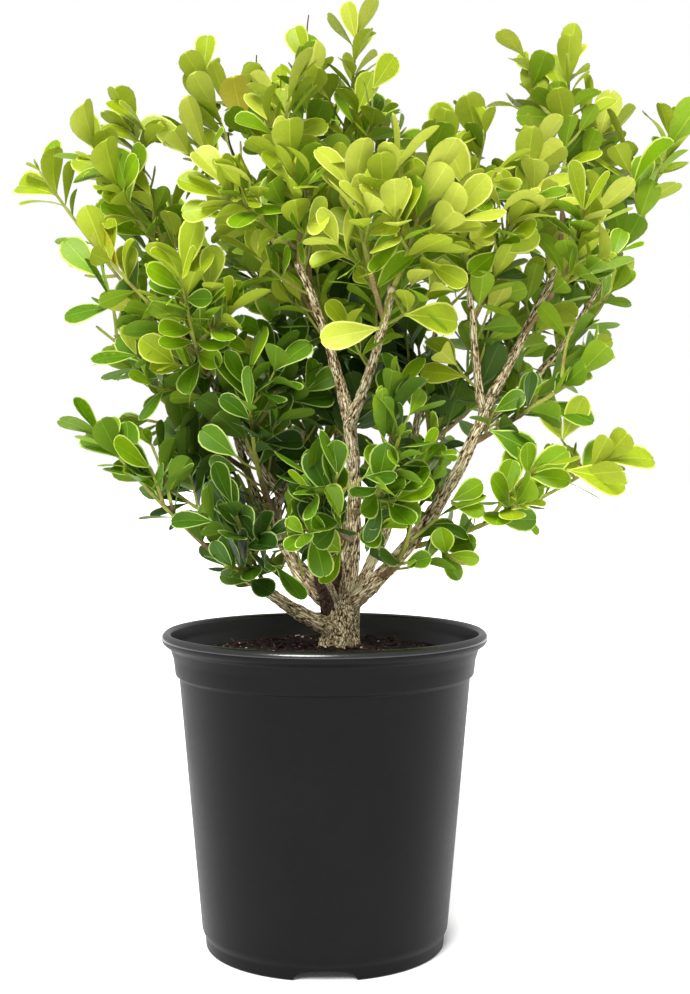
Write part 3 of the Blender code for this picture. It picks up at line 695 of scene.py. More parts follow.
def frames_along(route):
    """A (tangent, side, up) frame at each point of a route, carried along it without twisting."""
    tangents = []
    for i in range(len(route)):
        before, after = route[max(i - 1, 0)], route[min(i + 1, len(route) - 1)]
        tangents.append((after - before).normalized())
    side = tangents[0].orthogonal().normalized()
    frames = []
    for tangent in tangents:
        side = (side - tangent * side.dot(tangent)).normalized()
        frames.append((tangent, side, tangent.cross(side)))
    return frames


def tube_faces(rings, sides):
    """Faces of a closed tube whose points stand in rings, with flat ends."""
    faces = []
    for ring in range(rings - 1):
        for k in range(sides):
            a, b = ring * sides + k, ring * sides + (k + 1) % sides
            faces.append((a, b, b + sides, a + sides))
    faces.append(tuple(reversed(range(sides))))
    faces.append(tuple(range((rings - 1) * sides, rings * sides)))
    return faces


def tube(route, radii, sides):
    """Points and faces of a closed tube along a route, with flat ends."""
    points = []
    for centre, radius, (_, side, up) in zip(route, radii, frames_along(route)):
        for k in range(sides):
            turn = math.tau * k / sides
            points.append(centre + (side * math.cos(turn) + up * math.sin(turn)) * radius)
    return points, tube_faces(len(route), sides)


class Space:
    """What is already taken, so that a new twig or leaf can be tested against it."""

    def __init__(self):
        self.taken = []

    def add(self, owner, points, faces):
        """Takes the space of a shape, for the limb or spray that owns it."""
        low = Vector([min(p[i] for p in points) for i in range(3)])
        high = Vector([max(p[i] for p in points) for i in range(3)])
        tree = BVHTree.FromPolygons(points, faces)
        self.taken.append((owner, low, high, tree))

    def touched(self, points, faces, but=()):
        """Whether a shape cuts anything that is taken, apart from what these owners took."""
        low = [min(p[i] for p in points) for i in range(3)]
        high = [max(p[i] for p in points) for i in range(3)]
        tree = None
        for owner, other_low, other_high, other in self.taken:
            if owner in but or any(low[i] > other_high[i] or high[i] < other_low[i] for i in range(3)):
                continue
            tree = tree or BVHTree.FromPolygons(points, faces)
            if tree.overlap(other):
                return True
        return False


def grow_limbs(space):
    """Routes and radii of the trunk and of every limb, by name."""
    grown = {}
    trunk = [TRUNK_FOOT.lerp(TRUNK_FORK, i / (TRUNK_POINTS - 1)) for i in range(TRUNK_POINTS)]
    grown["trunk"] = (trunk, tapered(TRUNK_FOOT_RADIUS, TRUNK_FORK_RADIUS, TRUNK_POINTS))
    for name, parent, share, tip, bow, base_radius, tip_radius in LIMBS:
        start, _ = point_on(grown[parent][0], share)
        route = bent_route(start, Vector(tip), Vector(bow), LIMB_POINTS)
        slimming = [(1 - i / (LIMB_POINTS - 1)) ** LIMB_TAPER for i in range(LIMB_POINTS)]
        radii = [tip_radius + (base_radius - tip_radius) * share_left for share_left in slimming]
        grown[name] = (route, radii)
    for name, (route, radii) in grown.items():
        space.add(name, *tube(route, [r + SKIP_MARGIN for r in radii], CLEARING_SIDES))
    return grown


def fine_limb(number, row, limbs):
    """A limb in close rings: crooked, thick at its collar and knuckled where old leaf pairs stood."""
    name, parent, _, tip, bow, base_radius, tip_radius = row
    start = limbs[name][0][0]
    count = int(route_length(limbs[name][0]) / LIMB_STEP) + 2
    route = bent_route(start, Vector(tip), Vector(bow), count)
    radii = []
    for i, centre in enumerate(route):
        t = i / (count - 1)
        along = t * route_length(limbs[name][0])
        radius = (tip_radius + (base_radius - tip_radius) * (1 - t) ** LIMB_TAPER) * LIMB_GIRTH
        thickening = COLLAR_AT_TRUNK if parent == "trunk" else 1.0
        collar = 1 + COLLAR[0] * math.exp(-along / COLLAR[1]) * thickening
        beat = (along / KNUCKLES[0] + 0.37 * number) % 1.0 - 0.5
        knuckle = 1 + KNUCKLES[1] * math.exp(-((beat * KNUCKLES[0] / KNUCKLE_WIDTH) ** 2))
        radii.append(radius * collar * knuckle)
        sway = noise.noise_vector(Vector((along / SWAY_LENGTH, number * 7.3, 0.5)))
        route[i] = centre + sway * min(1.0, 4 * t, 4 * (1 - t)) * SWAY
    return route, radii


def fine_trunk():
    """The trunk in close rings, spread into root lobes where it leaves the mix."""
    route, radii, points = [], [], []
    for i in range(TRUNK_RINGS):
        share = i / (TRUNK_RINGS - 1)
        centre = TRUNK_FOOT.lerp(TRUNK_FORK, share)
        radius = TRUNK_FOOT_RADIUS + (TRUNK_FORK_RADIUS - TRUNK_FOOT_RADIUS) * share**TRUNK_TAPER
        for k in range(TRUNK_COLUMNS):
            turn = math.tau * k / TRUNK_COLUMNS
            lobes = 1 + ROOT_FLARE * (1 - share) ** 2.2 * math.cos(ROOT_LOBES * turn + 0.6)
            flare = radius * lobes + ROOT_SPREAD * (1 - share) ** 4
            sunk = Vector((0, 0, -ROOT_DEPTH if i == 0 else 0))
            points.append(centre + sunk + Vector((math.cos(turn), math.sin(turn), 0)) * flare)
        route.append(centre)
        radii.append(radius)
    return route, radii, points, tube_faces(TRUNK_RINGS, TRUNK_COLUMNS)


def joined(parts):
    """Points and faces of several shapes as one list of each."""
    points, faces = [], []
    for some_points, some_faces in parts:
        first = len(points)
        points += some_points
        faces += [tuple(i + first for i in face) for face in some_faces]
    return points, faces


def bark_relief(made, limbs_drawn):
    """Carves the bark into a skin of old wood: long grooves and small flakes that follow each limb. How
    high each point stands, and its place round and along the limb, are stored for the colour."""
    samples = []
    for number, (route, radii) in enumerate(limbs_drawn):
        along = 0.0
        for i, (centre, radius, frame_here) in enumerate(zip(route, radii, frames_along(route))):
            along += (centre - route[i - 1]).length if i else 0.0
            samples.append((centre, radius, frame_here, along, number))
    finder = kdtree.KDTree(len(samples))
    for i, sample in enumerate(samples):
        finder.insert(sample[0], i)
    finder.balance()
    heights, moved, runs = [], [], []
    for vertex in made.data.vertices:
        place = vertex.co / MM
        near = min(finder.find_n(place, 8), key=lambda found: found[2] - samples[found[1]][1])
        centre, radius, (tangent, side, up), along, number = samples[near[1]]
        off = place - centre
        along += off.dot(tangent)
        turn = math.atan2(off.dot(up), off.dot(side)) + 0.25 * math.sin(along / 14 + number)
        wrap = Vector((math.cos(turn), math.sin(turn), 0)) * radius / GROOVE_WIDTH
        at = wrap + Vector((0, 0, along / GROOVE_LENGTH + 11.3 * number + BARK_SEED))
        plate = Vector((math.cos(turn), math.sin(turn), 0)) * radius / PLATE_SIZE[0]
        longer = PLATE_SIZE[1] * (BOUGH_PLATES if number else 1.0)
        runs.extend(plate + Vector((0, 0, along / longer + 7.0 * number)))
        groove = abs(noise.noise(at) + 0.35 * noise.noise(at * 2.3 + Vector((5, 1, 2))))
        ridge = min(1.0, groove / 0.20)
        flake = noise.noise(place / FLAKE_SIZE) * 0.5 + noise.noise(place / (FLAKE_SIZE * 2.4)) * 0.7
        depth = GROOVE_DEPTH * min(1.0, (radius / 6.0) ** 0.8)
        rise = (ridge - 0.7) * depth + flake * FLAKE_DEPTH * min(1.0, radius / 4.0)
        moved.append(vertex.co + vertex.normal * rise * MM)
        heights.append(max(0.0, min(1.0, 0.15 + 0.62 * ridge + 0.45 * flake)))
    for vertex, place in zip(made.data.vertices, moved):
        vertex.co = place
    relief = made.data.attributes.new("relief", "FLOAT", "POINT")
    relief.data.foreach_set("value", heights)
    made.data.attributes.new("run", "FLOAT_VECTOR", "POINT").data.foreach_set("vector", runs)


def bark_material(name, ridge, middle, groove, lichen, shade=None):
    """Bark in small long plates, pale on the ridges and tan beside them, with dark cracks between the
    plates, and pale specks. Round the given place it is darkened by painted shade, for the shadow in the
    fork."""
    material, tree, shader = new_material(name, roughness=0.88, Specular_IOR_Level=0.3)
    relief = node(tree, "ShaderNodeAttribute", attribute_name="relief", attribute_type="GEOMETRY")
    run = node(tree, "ShaderNodeAttribute", attribute_name="run", attribute_type="GEOMETRY")
    slowly = {"Vector": run.outputs["Vector"], "Scale": 1.1, "Detail": 2.0}
    wander = node(tree, "ShaderNodeTexNoise", slowly)
    bent = node(
        tree,
        "ShaderNodeVectorMath",
        {0: wander.outputs["Color"], 1: (0.9, 0.9, 0.9), 2: run.outputs["Vector"]},
        operation="MULTIPLY_ADD",
    )
    plates = node(
        tree,
        "ShaderNodeTexVoronoi",
        {"Vector": bent.outputs["Vector"], "Scale": 1.0},
        feature="DISTANCE_TO_EDGE",
    )
    whole = spread(tree, plates.outputs["Distance"], 0.03, 0.26)
    grain = mottled(tree, patch=900.0, grain=2600.0, share=0.45)
    stands = node(
        tree,
        "ShaderNodeMath",
        {0: relief.outputs["Fac"], 1: 0.50, 2: between(tree, grain, -0.16, 0.16)},
        operation="MULTIPLY_ADD",
    )
    share = node(
        tree,
        "ShaderNodeMath",
        {0: whole, 1: 0.58, 2: stands.outputs[0]},
        operation="MULTIPLY_ADD",
    )
    base = blended(tree, spread(tree, share.outputs[0], 0.20, 0.52), groove, middle)
    base = blended(tree, spread(tree, share.outputs[0], 0.52, 0.78), base, ridge)
    # Painted shade: darkens the bark towards the crack colour round the given place, as the shadow in the
    # fork.
    if shade:
        place = node(tree, "ShaderNodeTexCoord").outputs["Object"]
        off = node(tree, "ShaderNodeVectorMath", {0: place, 1: shade * MM}, operation="DISTANCE")
        painted_fork_shade = between(tree, spread(tree, off.outputs["Value"], *SHADE_REACH), 0.55, 0.0)
        base = blended(tree, painted_fork_shade, base, groove)
    patches = mottled(tree, patch=70.0, grain=420.0, share=0.3)
    spotted = blended(tree, spread(tree, patches, 0.62, 0.95), base, lichen)
    tree.links.new(spotted, shader.inputs["Base Color"])
    raised(tree, shader, share.outputs[0], 0.0005)
    return material


space = Space()
limbs = grow_limbs(space)
trunk_route, trunk_radii, trunk_points, trunk_faces = fine_trunk()
drawn = {"trunk": (trunk_route, trunk_radii)}
parts = [(trunk_points, trunk_faces)]
for number, row in enumerate(LIMBS):
    drawn[row[0]] = fine_limb(number, row, limbs)
    if row[0] not in DEAD_LIMBS:
        parts.append(tube(*drawn[row[0]], LIMB_COLUMNS))
bark_paints = (paint(252, 240, 202), paint(186, 158, 108), paint(36, 22, 10), paint(214, 206, 158))
bark = bark_material("corky_bark_fork_shaded", *bark_paints, shade=FORK_SHADE)
wood = piece_from("trunk_and_boughs", *joined(parts), [bark])
skin = wood.modifiers.new("skin", "REMESH")
skin.mode = "VOXEL"
skin.voxel_size = SKIN_CELL * MM
plain_mesh(wood)
bark_relief(wood, [drawn[name] for name in drawn if name not in DEAD_LIMBS])
wood.data.shade_smooth()
wood.data.materials.clear()
wood.data.materials.append(bark)
stands_for(wood, "bark", "trunk", *[row[0] for row in LIMBS if row[0] not in DEAD_LIMBS])


# ---------------------------------------------------------------- cut stub and old stump
# A thin leader at the front was cut off above the fork and has died back. Its bark has gone pale, splits
# finely and still clings, and the cut end is left bare. Behind it stands the thick stump of an older stem,
# its bark painted very dark as painted shade for the deep shadow in the fork.

STUB_STEP = 0.8
STUB_COLUMNS = 18
STUMP_COLUMNS = 40
BROKEN_RINGS = 12
STUMP_SPLINTERS = 7.0
SPLINTER_SIZES = ((2.6, 1.6), (6.0, 0.5))
SPLINTER_TOP = 0.25
DEAD_BEND = 0.8
DEAD_UNEVENNESS = 0.16


def dead_end(limb, name, columns, material, broken=0.0):
    """A tube of dead wood: close rings, a little bent, closed by a cut end, or by one broken off in
    splinters as high as this."""
    row = next(row for row in LIMBS if row[0] == limb)
    count = int(route_length(limbs[limb][0]) / STUB_STEP)
    route = bent_route(limbs[limb][0][0], Vector(row[3]), Vector(row[4]), count)
    radii = tapered(row[5], row[6], count)
    for i in range(count):
        route[i] += noise.noise_vector(Vector((i * STUB_STEP / 9, 3.1, 0))) * DEAD_BEND
        radii[i] *= 1 + DEAD_UNEVENNESS * noise.noise(Vector((i * STUB_STEP / 3, 8.7, 0)))
    points, faces = tube(route, radii, columns)
    upwards = frames_along(route)[-1][0]
    for i in range(len(points)):
        near_end = max(0.0, (i // columns - (count - 1 - BROKEN_RINGS)) / BROKEN_RINGS)
        turn = math.tau * (i % columns) / columns
        splinter = 0.0
        for depth, (size, height) in enumerate(SPLINTER_SIZES):
            splinter += noise.noise(Vector((math.cos(turn), math.sin(turn), 3 * depth)) * size) * height
        points[i] += upwards * (broken * near_end * min(SPLINTER_TOP, splinter))
    made = piece_from(name, points, faces, [material])
    bark_relief(made, [(route, radii)])
    smooth(made, 55)
    return made


dead_paints = (paint(228, 216, 178), paint(178, 160, 118), paint(96, 76, 48), paint(200, 194, 158))
dead_bark = bark_material("dead_bark", *dead_paints)
stands_for(dead_end("cut_stub", "cut_stub_wood", STUB_COLUMNS, dead_bark), "dead_wood", "cut_stub")
# The stump's very dark bark colours are painted shade, standing in for the shadow in the fork.
stump_paints_painted_shade = (paint(92, 66, 50), paint(54, 36, 26), paint(24, 14, 10), paint(70, 58, 44))
stump_bark_painted_shade = bark_material("stump_bark_painted_shade", *stump_paints_painted_shade)
stump = dead_end("old_stump", "old_stump_wood", STUMP_COLUMNS, stump_bark_painted_shade, broken=STUMP_SPLINTERS)
stands_for(stump, "bark", "old_stump")


# ---------------------------------------------------------------- twigs
# Each spray is a main stem with side stems, grown by the same rule and the same draws as the solid that
# it stands for, then carried on to short twiglets. Young boxwood twigs are four-angled and swell where
# a pair of leaves stands. They are woody near the bough and yellow-green towards the tip.

# Name, limb it grows from, share of the way up that limb, tip of its main stem, bow, tips of its side
# stems, and tone of its leaves, which is set low for sprays deep in the crown, partly as painted shade.
SPRAYS = (
    ("spray_crest", "bough_back", 0.97, (16, 16, 464), (0, -6, -6), ((24, 4, 416), (2, 36, 430)), 4.0),
    ("spray_upper_middle", "bough_centre_left", 0.80, (-9, 0, 444), (0, 16, 0), ((-34, 20, 430),), 3.6),
    ("spray_upper_left", "bough_centre_left", 0.56, (-60, -12, 437), (-6, 18, -6), ((-68, -30, 404),), 4.5),
    ("spray_centre_left", "bough_centre_left", 0.97, (-15, -84, 380), (2, -8, 2), ((-42, -76, 368),), 4.4),
    ("spray_left_tall", "bough_left_outer", 0.97, (-94, -20, 408), (-4, 2, 2), ((-110, -40, 396),), 4.1),
    ("spray_far_left", "bough_left_outer", 0.74, (-143, 0, 391), (-2, 6, -6), ((-122, 8, 340),), 3.7),
    ("spray_left_front", "bough_left_outer", 0.84, (-66, -62, 334), (0, -18, -14), ((-106, -46, 346),), 4.0),
    ("spray_left_middle", "bough_left_outer", 0.52, (-112, -22, 312), (-2, -2, -2), ((-104, -30, 326),), 2.7),
    ("spray_low_left", "bough_low_left", 0.97, (-108, -32, 258), (-3, 0, -3), ((-84, -44, 244),), 2.4),
    ("spray_low_left_back", "bough_low_left", 0.80, (-72, 14, 258), (-3, 8, -4), (), 1.2),
    ("spray_foot_left", "bough_low_left", 0.60, (-44, -46, 226), (-2, -6, 0),
     ((-48, -46, 196), (-24, -44, 202)), 1.2),
    ("spray_heart_left", "bough_left", 0.80, (-36, -46, 288), (-6, -18, -16), (), 2.1),
    ("spray_core_left", "bough_left", 0.55, (-52, 44, 246), (-2, 4, -6), (), 0.7),
    ("spray_heart_low", "bough_centre", 0.34, (-6, -68, 240), (0, -22, -15), (), 2.1),
    ("spray_heart_right", "bough_centre", 0.48, (34, -80, 258), (0, -24, -16), (), 2.6),
    ("spray_core_middle", "bough_centre", 0.76, (16, 20, 336), (2, 14, -6), (), 1.2),
    ("spray_centre_front", "bough_centre_right", 0.78, (12, -100, 366), (-2, -10, 0), (), 4.8),
    ("spray_centre_bright", "bough_centre_right", 0.97, (44, -94, 368), (2, -6, -4), ((30, -104, 354),), 5.0),
    ("spray_centre_back", "bough_centre_right", 0.60, (46, -10, 385), (-2, 14, -4), (), 3.9),
    ("spray_right_inner", "bough_right_inner", 0.97, (77, -26, 413), (-2, 2, 0), ((66, -72, 370),), 4.3),
    ("spray_right_middle", "bough_right_inner", 0.66, (101, -34, 394), (2, -2, -4), ((88, -62, 362),), 4.4),
    ("spray_right_top", "bough_right_outer", 0.97, (123, 0, 443), (0, 2, 0), ((104, 4, 432),), 4.2),
    ("spray_right_shoulder", "bough_right_outer", 0.70, (150, 34, 415), (4, 10, -4), (), 3.8),
    ("spray_right_front", "bough_right_outer", 0.52, (128, -48, 364), (2, -8, -4), (), 4.0),
    ("spray_far_right", "bough_far_right", 0.97, (178, 12, 420), (8, 0, -8), ((154, 2, 398),), 3.7),
    ("spray_right_side", "bough_far_right", 0.60, (148, 24, 333), (4, 4, -4), (), 2.9),
    ("spray_right_low", "bough_right", 0.82, (130, -54, 294), (0, -2, -3), (), 2.6),
    ("spray_low_right", "bough_right", 0.34, (134, -46, 247), (2, -2, -10),
     ((66, -62, 198), (90, -60, 226)), 3.4),
    ("spray_heart_back", "bough_right", 0.56, (48, 10, 304), (2, 12, -6), (), 1.1),
    ("spray_foot_right", "bough_right", 0.20, (42, -52, 222), (2, -14, -12), (), 2.4),
    ("spray_back_high", "bough_back", 0.80, (8, 96, 424), (0, 8, -6), (), 3.9),
    ("spray_core_back", "bough_back", 0.56, (22, 92, 312), (2, 6, -8), (), 1.1),
    ("spray_inner_back", "bough_left_inner", 0.97, (-40, 44, 392), (-6, 0, -2), (), 3.3),
    ("spray_back_left_high", "bough_back_left", 0.97, (-84, 96, 378), (-4, 6, -4), (), 3.3),
    ("spray_back_left_low", "bough_back_left", 0.70, (-112, 72, 304), (-4, 2, -6), (), 2.2),
    ("spray_back_low", "bough_back_left", 0.55, (-18, 114, 272), (0, 6, -8), (), 1.4),
    ("spray_back_right_high", "bough_back_right", 0.97, (76, 104, 392), (2, 4, -4), (), 3.4),
    ("spray_back_right_low", "bough_back_right", 0.72, (122, 84, 318), (6, 2, -6), (), 2.3),
    ("spray_back_right_foot", "bough_back_right", 0.52, (60, 110, 254), (2, 6, -8), (), 1.6),
)  # fmt: skip
SPRAY_TONES = {row[0]: row[6] for row in SPRAYS}

# How far leaves reach out from the pot's centre line: height, left, right, and front and back alike.
CROWN_REACH = (
    (160, 26, 40, 30),
    (185, 50, 74, 62),
    (215, 96, 112, 96),
    (235, 122, 200, 116),
    (280, 136, 150, 134),
    (330, 136, 156, 148),
    (375, 150, 168, 150),
    (402, 172, 192, 146),
    (432, 128, 192, 130),
    (458, 84, 142, 108),
    (484, 62, 96, 60),
)
TWIG_SIDES = 3
MAIN_RINGS = 4
SIDE_RINGS = 3
TWIG_BASE_RADIUS = 1.9
TWIG_TIP_RADIUS = 0.9
SIDE_STEM_SHARES = (0.42, 0.70)
SIDE_STEM_LENGTH = 0.42
SIDE_STEM_ANGLE = math.radians(46)
SIDE_STEM_TRIES = 8
SIDE_STEM_GIRTH = 0.62
SIDE_STEM_BOW = 0.10
PAST_FORK = 0.3
BOW_TRIES = 9
LEAFY_SHARE_MAIN = 0.78
LEAFY_SHARE_SIDE = 0.66
GOLDEN_ANGLE = math.radians(137.5)
SEED = 11


def reach_at(point):
    """How far out a point lies, as a share of the crown's reach at its height. Outside it is above 1."""
    low, high = CROWN_REACH[0], CROWN_REACH[-1]
    if not low[0] <= point.z <= high[0]:
        return 9.0
    for below, above in zip(CROWN_REACH, CROWN_REACH[1:]):
        if point.z <= above[0]:
            break
    share = (point.z - below[0]) / (above[0] - below[0])
    left, right, deep = (b + (a - b) * share for b, a in zip(below[1:], above[1:]))
    across = right if point.x > 0 else left
    return math.hypot(point.x / across, point.y / deep)


def within_reach(point):
    """Whether a point lies inside the crown's reach."""
    return reach_at(point) <= 1.0


def fork_share(route, tip, angle):
    """Where a side stem leaves a main stem so that it reaches its tip at about this angle."""
    best = (9.0, 0.5)
    for step in range(3, 18):
        share = step / 20
        point, along = point_on(route, share)
        best = min(best, (abs(along.angle(tip - point) - angle), share))
    return best[1]


def add_side_stem(name, sprays, space, start, tip, along):
    """Adds a side stem to a spray unless it would touch what is there. It says whether it did."""
    leans = along - (tip - start).normalized()
    route = bent_route(start, tip, -leans * (tip - start).length * SIDE_STEM_BOW, SIDE_RINGS)
    radii = tapered(TWIG_BASE_RADIUS * SIDE_STEM_GIRTH, TWIG_TIP_RADIUS, SIDE_RINGS)
    wide = [r + SKIP_MARGIN for r in radii]
    beyond_fork = [route[0].lerp(route[1], PAST_FORK)] + route[1:]
    if space.touched(*tube(beyond_fork, wide, TWIG_SIDES)):
        return False
    if space.touched(*tube(route, wide, TWIG_SIDES), but=(name,)):
        return False
    sprays[name].append((route, radii, LEAFY_SHARE_SIDE))
    space.add(name, *tube(route, wide, TWIG_SIDES))
    return True


def grow_stems(limbs, space, rng):
    """Stems of every spray, by name: a list of (route, radii, leafy share), the main stem first."""
    sprays = {}
    for name, limb, share, tip, bow, _, _ in SPRAYS:
        start, _ = point_on(limbs[limb][0], share)
        chord = Vector(tip) - start
        radii = tapered(min(TWIG_BASE_RADIUS, limbs[limb][1][-1] * 0.85), TWIG_TIP_RADIUS, MAIN_RINGS)
        for attempt in range(BOW_TRIES):
            turn = Matrix.Rotation(math.tau * attempt / BOW_TRIES, 3, chord)
            turned_bow = turn @ (Vector(bow) * (1 + attempt / 3))
            route = bent_route(start, Vector(tip), turned_bow, MAIN_RINGS)
            stem = tube(route, [r + SKIP_MARGIN for r in radii], TWIG_SIDES)
            if not space.touched(*stem, but=(limb,)):
                break
        sprays[name] = [(route, radii, LEAFY_SHARE_MAIN)]
        space.add(name, *stem)
    for number, (name, _, _, _, _, side_tips, _) in enumerate(SPRAYS):
        main = sprays[name][0][0]
        for tip in side_tips:
            tip = Vector(tip)
            start, along = point_on(main, fork_share(main, tip, SIDE_STEM_ANGLE))
            add_side_stem(name, sprays, space, start, tip, along)
        length = route_length(main)
        for step, share in enumerate(SIDE_STEM_SHARES[: 1 if side_tips else 2]):
            start, along = point_on(main, share)
            across = along.orthogonal().normalized()
            reach = length * SIDE_STEM_LENGTH * rng.uniform(0.85, 1.15)
            for attempt in range(SIDE_STEM_TRIES):
                turn = GOLDEN_ANGLE * (number + 2 * step + attempt) + rng.uniform(-0.3, 0.3)
                out = Matrix.Rotation(turn, 3, along) @ across
                heading = along * math.cos(SIDE_STEM_ANGLE) + out * math.sin(SIDE_STEM_ANGLE)
                tip = start + (heading + Vector((0, 0, 0.2))).normalized() * reach
                if within_reach(tip) and add_side_stem(name, sprays, space, start, tip, along):
                    break
    return sprays


rng = random.Random(SEED)
stems = grow_stems(limbs, space, rng)

# The leaves of the solids claim their places next, before anything finer grows between them.
LEAF_LENGTH = 26.0
LEAF_WIDTH_SHARE = 0.58
LEAF_THICKNESS = 0.9
LEAF_ROOT = 0.3
LEAF_FOOT = 3.3
LEAF_WIDEST = 0.60
LEAF_ROLL = math.radians(48)
TIP_SETBACK = 1.8
FIRST_INTERNODE = 12.0
INTERNODE = 30.0
TIP_SPREAD = math.radians(20)
LOWER_SPREAD = math.radians(52)
MOST_LEAVES = 12
LOWEST_LEAF = 168.0
LEAF_SKYWARD = 0.25


def leaf_frame(stem_along, outwards, spread, rng):
    """Directions of a leaf: along its midrib, across it, and out of its upper face."""
    along = (stem_along * math.cos(spread) + outwards * math.sin(spread)).normalized()
    face = stem_along - along * stem_along.dot(along) + Vector((0, 0, LEAF_SKYWARD))
    face = (face - along * face.dot(along)).normalized()
    face = Matrix.Rotation(rng.uniform(-LEAF_ROLL, LEAF_ROLL), 3, along) @ face
    return along, along.cross(face), face


def leaf_solid(root, frame, length, grown=0.0, clear_of_root=0.0):
    """A leaf of eight faces, to test for clearance: four points round its outline, one on each side."""
    along, across, face = frame
    half = length * LEAF_WIDTH_SHARE / 2 + grown
    thick = LEAF_THICKNESS / 2 + grown
    start = root + along * (clear_of_root - LEAF_ROOT)
    end = root + along * (length + grown)
    middle = root + along * length * LEAF_WIDEST
    points = [
        start,
        middle + across * half,
        end,
        middle - across * half,
        middle + face * thick,
        middle - face * thick,
    ]
    faces = [(0, 1, 4), (1, 2, 4), (2, 3, 4), (3, 0, 4), (1, 0, 5), (2, 1, 5), (3, 2, 5), (0, 3, 5)]
    return points, faces


def leaf_fits(name, root, frame, length, space):
    """Whether a leaf stays within reach, above the lip, off its own spray and off everything else."""
    blade = leaf_solid(root, frame, length, SKIP_MARGIN, LEAF_FOOT)
    whole = leaf_solid(root, frame, length, SKIP_MARGIN)
    if min(p.z for p in blade[0]) < LOWEST_LEAF or not within_reach(blade[0][2]):
        return False
    return not space.touched(*blade) and not space.touched(*whole, but=(name,))


def leaf_nodes(length, leafy_share):
    """Distances from a stem's foot at which it bears a pair of leaves, from the tip down."""
    places, place, step = [], length - TIP_SETBACK, FIRST_INTERNODE
    while place > length * (1 - leafy_share):
        places.append(place)
        place -= step
        step = min(step * 1.6, INTERNODE)
    return places


def grow_leaves(sprays, space, rng):
    """Leaves of every spray: (spray, stem, share of the way up it, frame, length), tips first."""
    wanted = []
    for name, stems_here in sprays.items():
        for stem, (route, _, leafy_share) in enumerate(stems_here):
            length = route_length(route)
            twist = rng.uniform(0, math.pi)
            for order, place in enumerate(leaf_nodes(length, leafy_share)):
                wanted.append((order, len(wanted), name, stem, place / length, twist))
    leaves, counts = [], dict.fromkeys(sprays, 0)
    for order, _, name, stem, share, twist in sorted(wanted, key=lambda w: w[:2]):
        root, along = point_on(sprays[name][stem][0], share)
        across = along.orthogonal().normalized()
        spread = min(TIP_SPREAD + order * math.radians(13), LOWER_SPREAD)
        for half in (0, 1):
            turn = twist + order * math.pi / 2 + half * math.pi + rng.uniform(-0.25, 0.25)
            out = Matrix.Rotation(turn, 3, along) @ across
            frame_here = leaf_frame(along, out, spread + rng.uniform(-0.12, 0.12), rng)
            length = LEAF_LENGTH * rng.uniform(0.84, 1.1)
            if counts[name] < MOST_LEAVES and leaf_fits(name, root, frame_here, length, space):
                counts[name] += 1
                leaves.append((name, stem, share, frame_here, length))
                space.add(name, *leaf_solid(root, frame_here, length, SKIP_MARGIN, LEAF_FOOT))
    return leaves


leaves = grow_leaves(stems, space, rng)

# Large leaves that stand out alone round the edge of the crown, each on a stalk from the stem nearby.
LONE_LEAVES = (
    # spray, where the leaf is rooted, where its tip is, and how far its face is turned from the front
    ("spray_left_middle", (-104, -25, 321), (-128, -27, 319), 0.3),
    ("spray_left_middle", (-109, -24, 335), (-129, -24, 355), -0.4),
    ("spray_low_right", (115, -48, 242), (146, -50, 238), -0.2),
    ("spray_low_right", (113, -48, 256), (123, -50, 277), 0.4),
    ("spray_low_right", (113, -48, 256), (105, -46, 273), -0.5),
    ("spray_low_right", (83, -54, 227), (89, -56, 247), 0.2),
    ("spray_right_low", (78, -52, 261), (100, -56, 251), 0.1),
    ("spray_upper_middle", (-9, 0, 444), (-16, -2, 464), -0.3),
    ("spray_upper_middle", (-9, 0, 444), (-4, 2, 463), 0.5),
    ("spray_upper_left", (-60, -12, 436), (-58, -14, 457), 0.0),
    ("spray_crest", (16, 14, 460), (11, 10, 479), -0.4),
    ("spray_crest", (24, 4, 433), (36, 2, 451), 0.3),
    ("spray_left_tall", (-102, -15, 387), (-124, -17, 397), 0.2),
    ("spray_right_inner", (64, -24, 399), (54, -26, 420), -0.3),
    ("spray_low_right", (60, -47, 227), (75, -50, 236), 0.3),
    ("spray_low_right", (60, -47, 226), (76, -52, 224), -0.3),
    ("spray_inner_back", (-25, 42, 308), (-45, 38, 324), 0.4),
    ("spray_inner_back", (-24, 42, 314), (-33, 38, 337), -0.4),
    ("spray_inner_back", (-28, 40, 302), (-49, 38, 308), 0.0),
    ("spray_centre_left", (-46, -76, 366), (-66, -78, 376), 0.2),
    ("spray_centre_left", (-46, -76, 362), (-65, -80, 360), -0.2),
    ("spray_centre_left", (-44, -76, 370), (-57, -78, 390), 0.3),
    ("spray_centre_bright", (36, -80, 313), (62, -83, 312), 0.2),
    ("spray_centre_bright", (25, -80, 307), (-2, -84, 302), -0.2),
    ("spray_centre_bright", (47, -80, 336), (64, -84, 327), 0.0),
)
LEAF_TO_FRONT = Vector((0, -1, 0.45))
STALK_RADII = (0.85, 0.7)

lone_leaves, stalks = [], []
for name, root, tip, turned in LONE_LEAVES:
    root = Vector(root)
    along = (Vector(tip) - root).normalized()
    to_front = (LEAF_TO_FRONT - along * LEAF_TO_FRONT.dot(along)).normalized()
    face = Matrix.Rotation(turned, 3, along) @ to_front
    length = (Vector(tip) - root).length
    lone_leaves.append((name, root, (along, along.cross(face), face), length))
    space.add(name, *leaf_solid(root, lone_leaves[-1][2], length, 0.0, LEAF_FOOT))
    places = [point_on(route, share / 20)[0] for route, _, _ in stems[name] for share in range(21)]
    start = min(places, key=lambda place: (place - root).length)
    if (start - root).length > 1:
        stalks.append(((start, (start + root) / 2, root), tapered(*STALK_RADII, 3)))
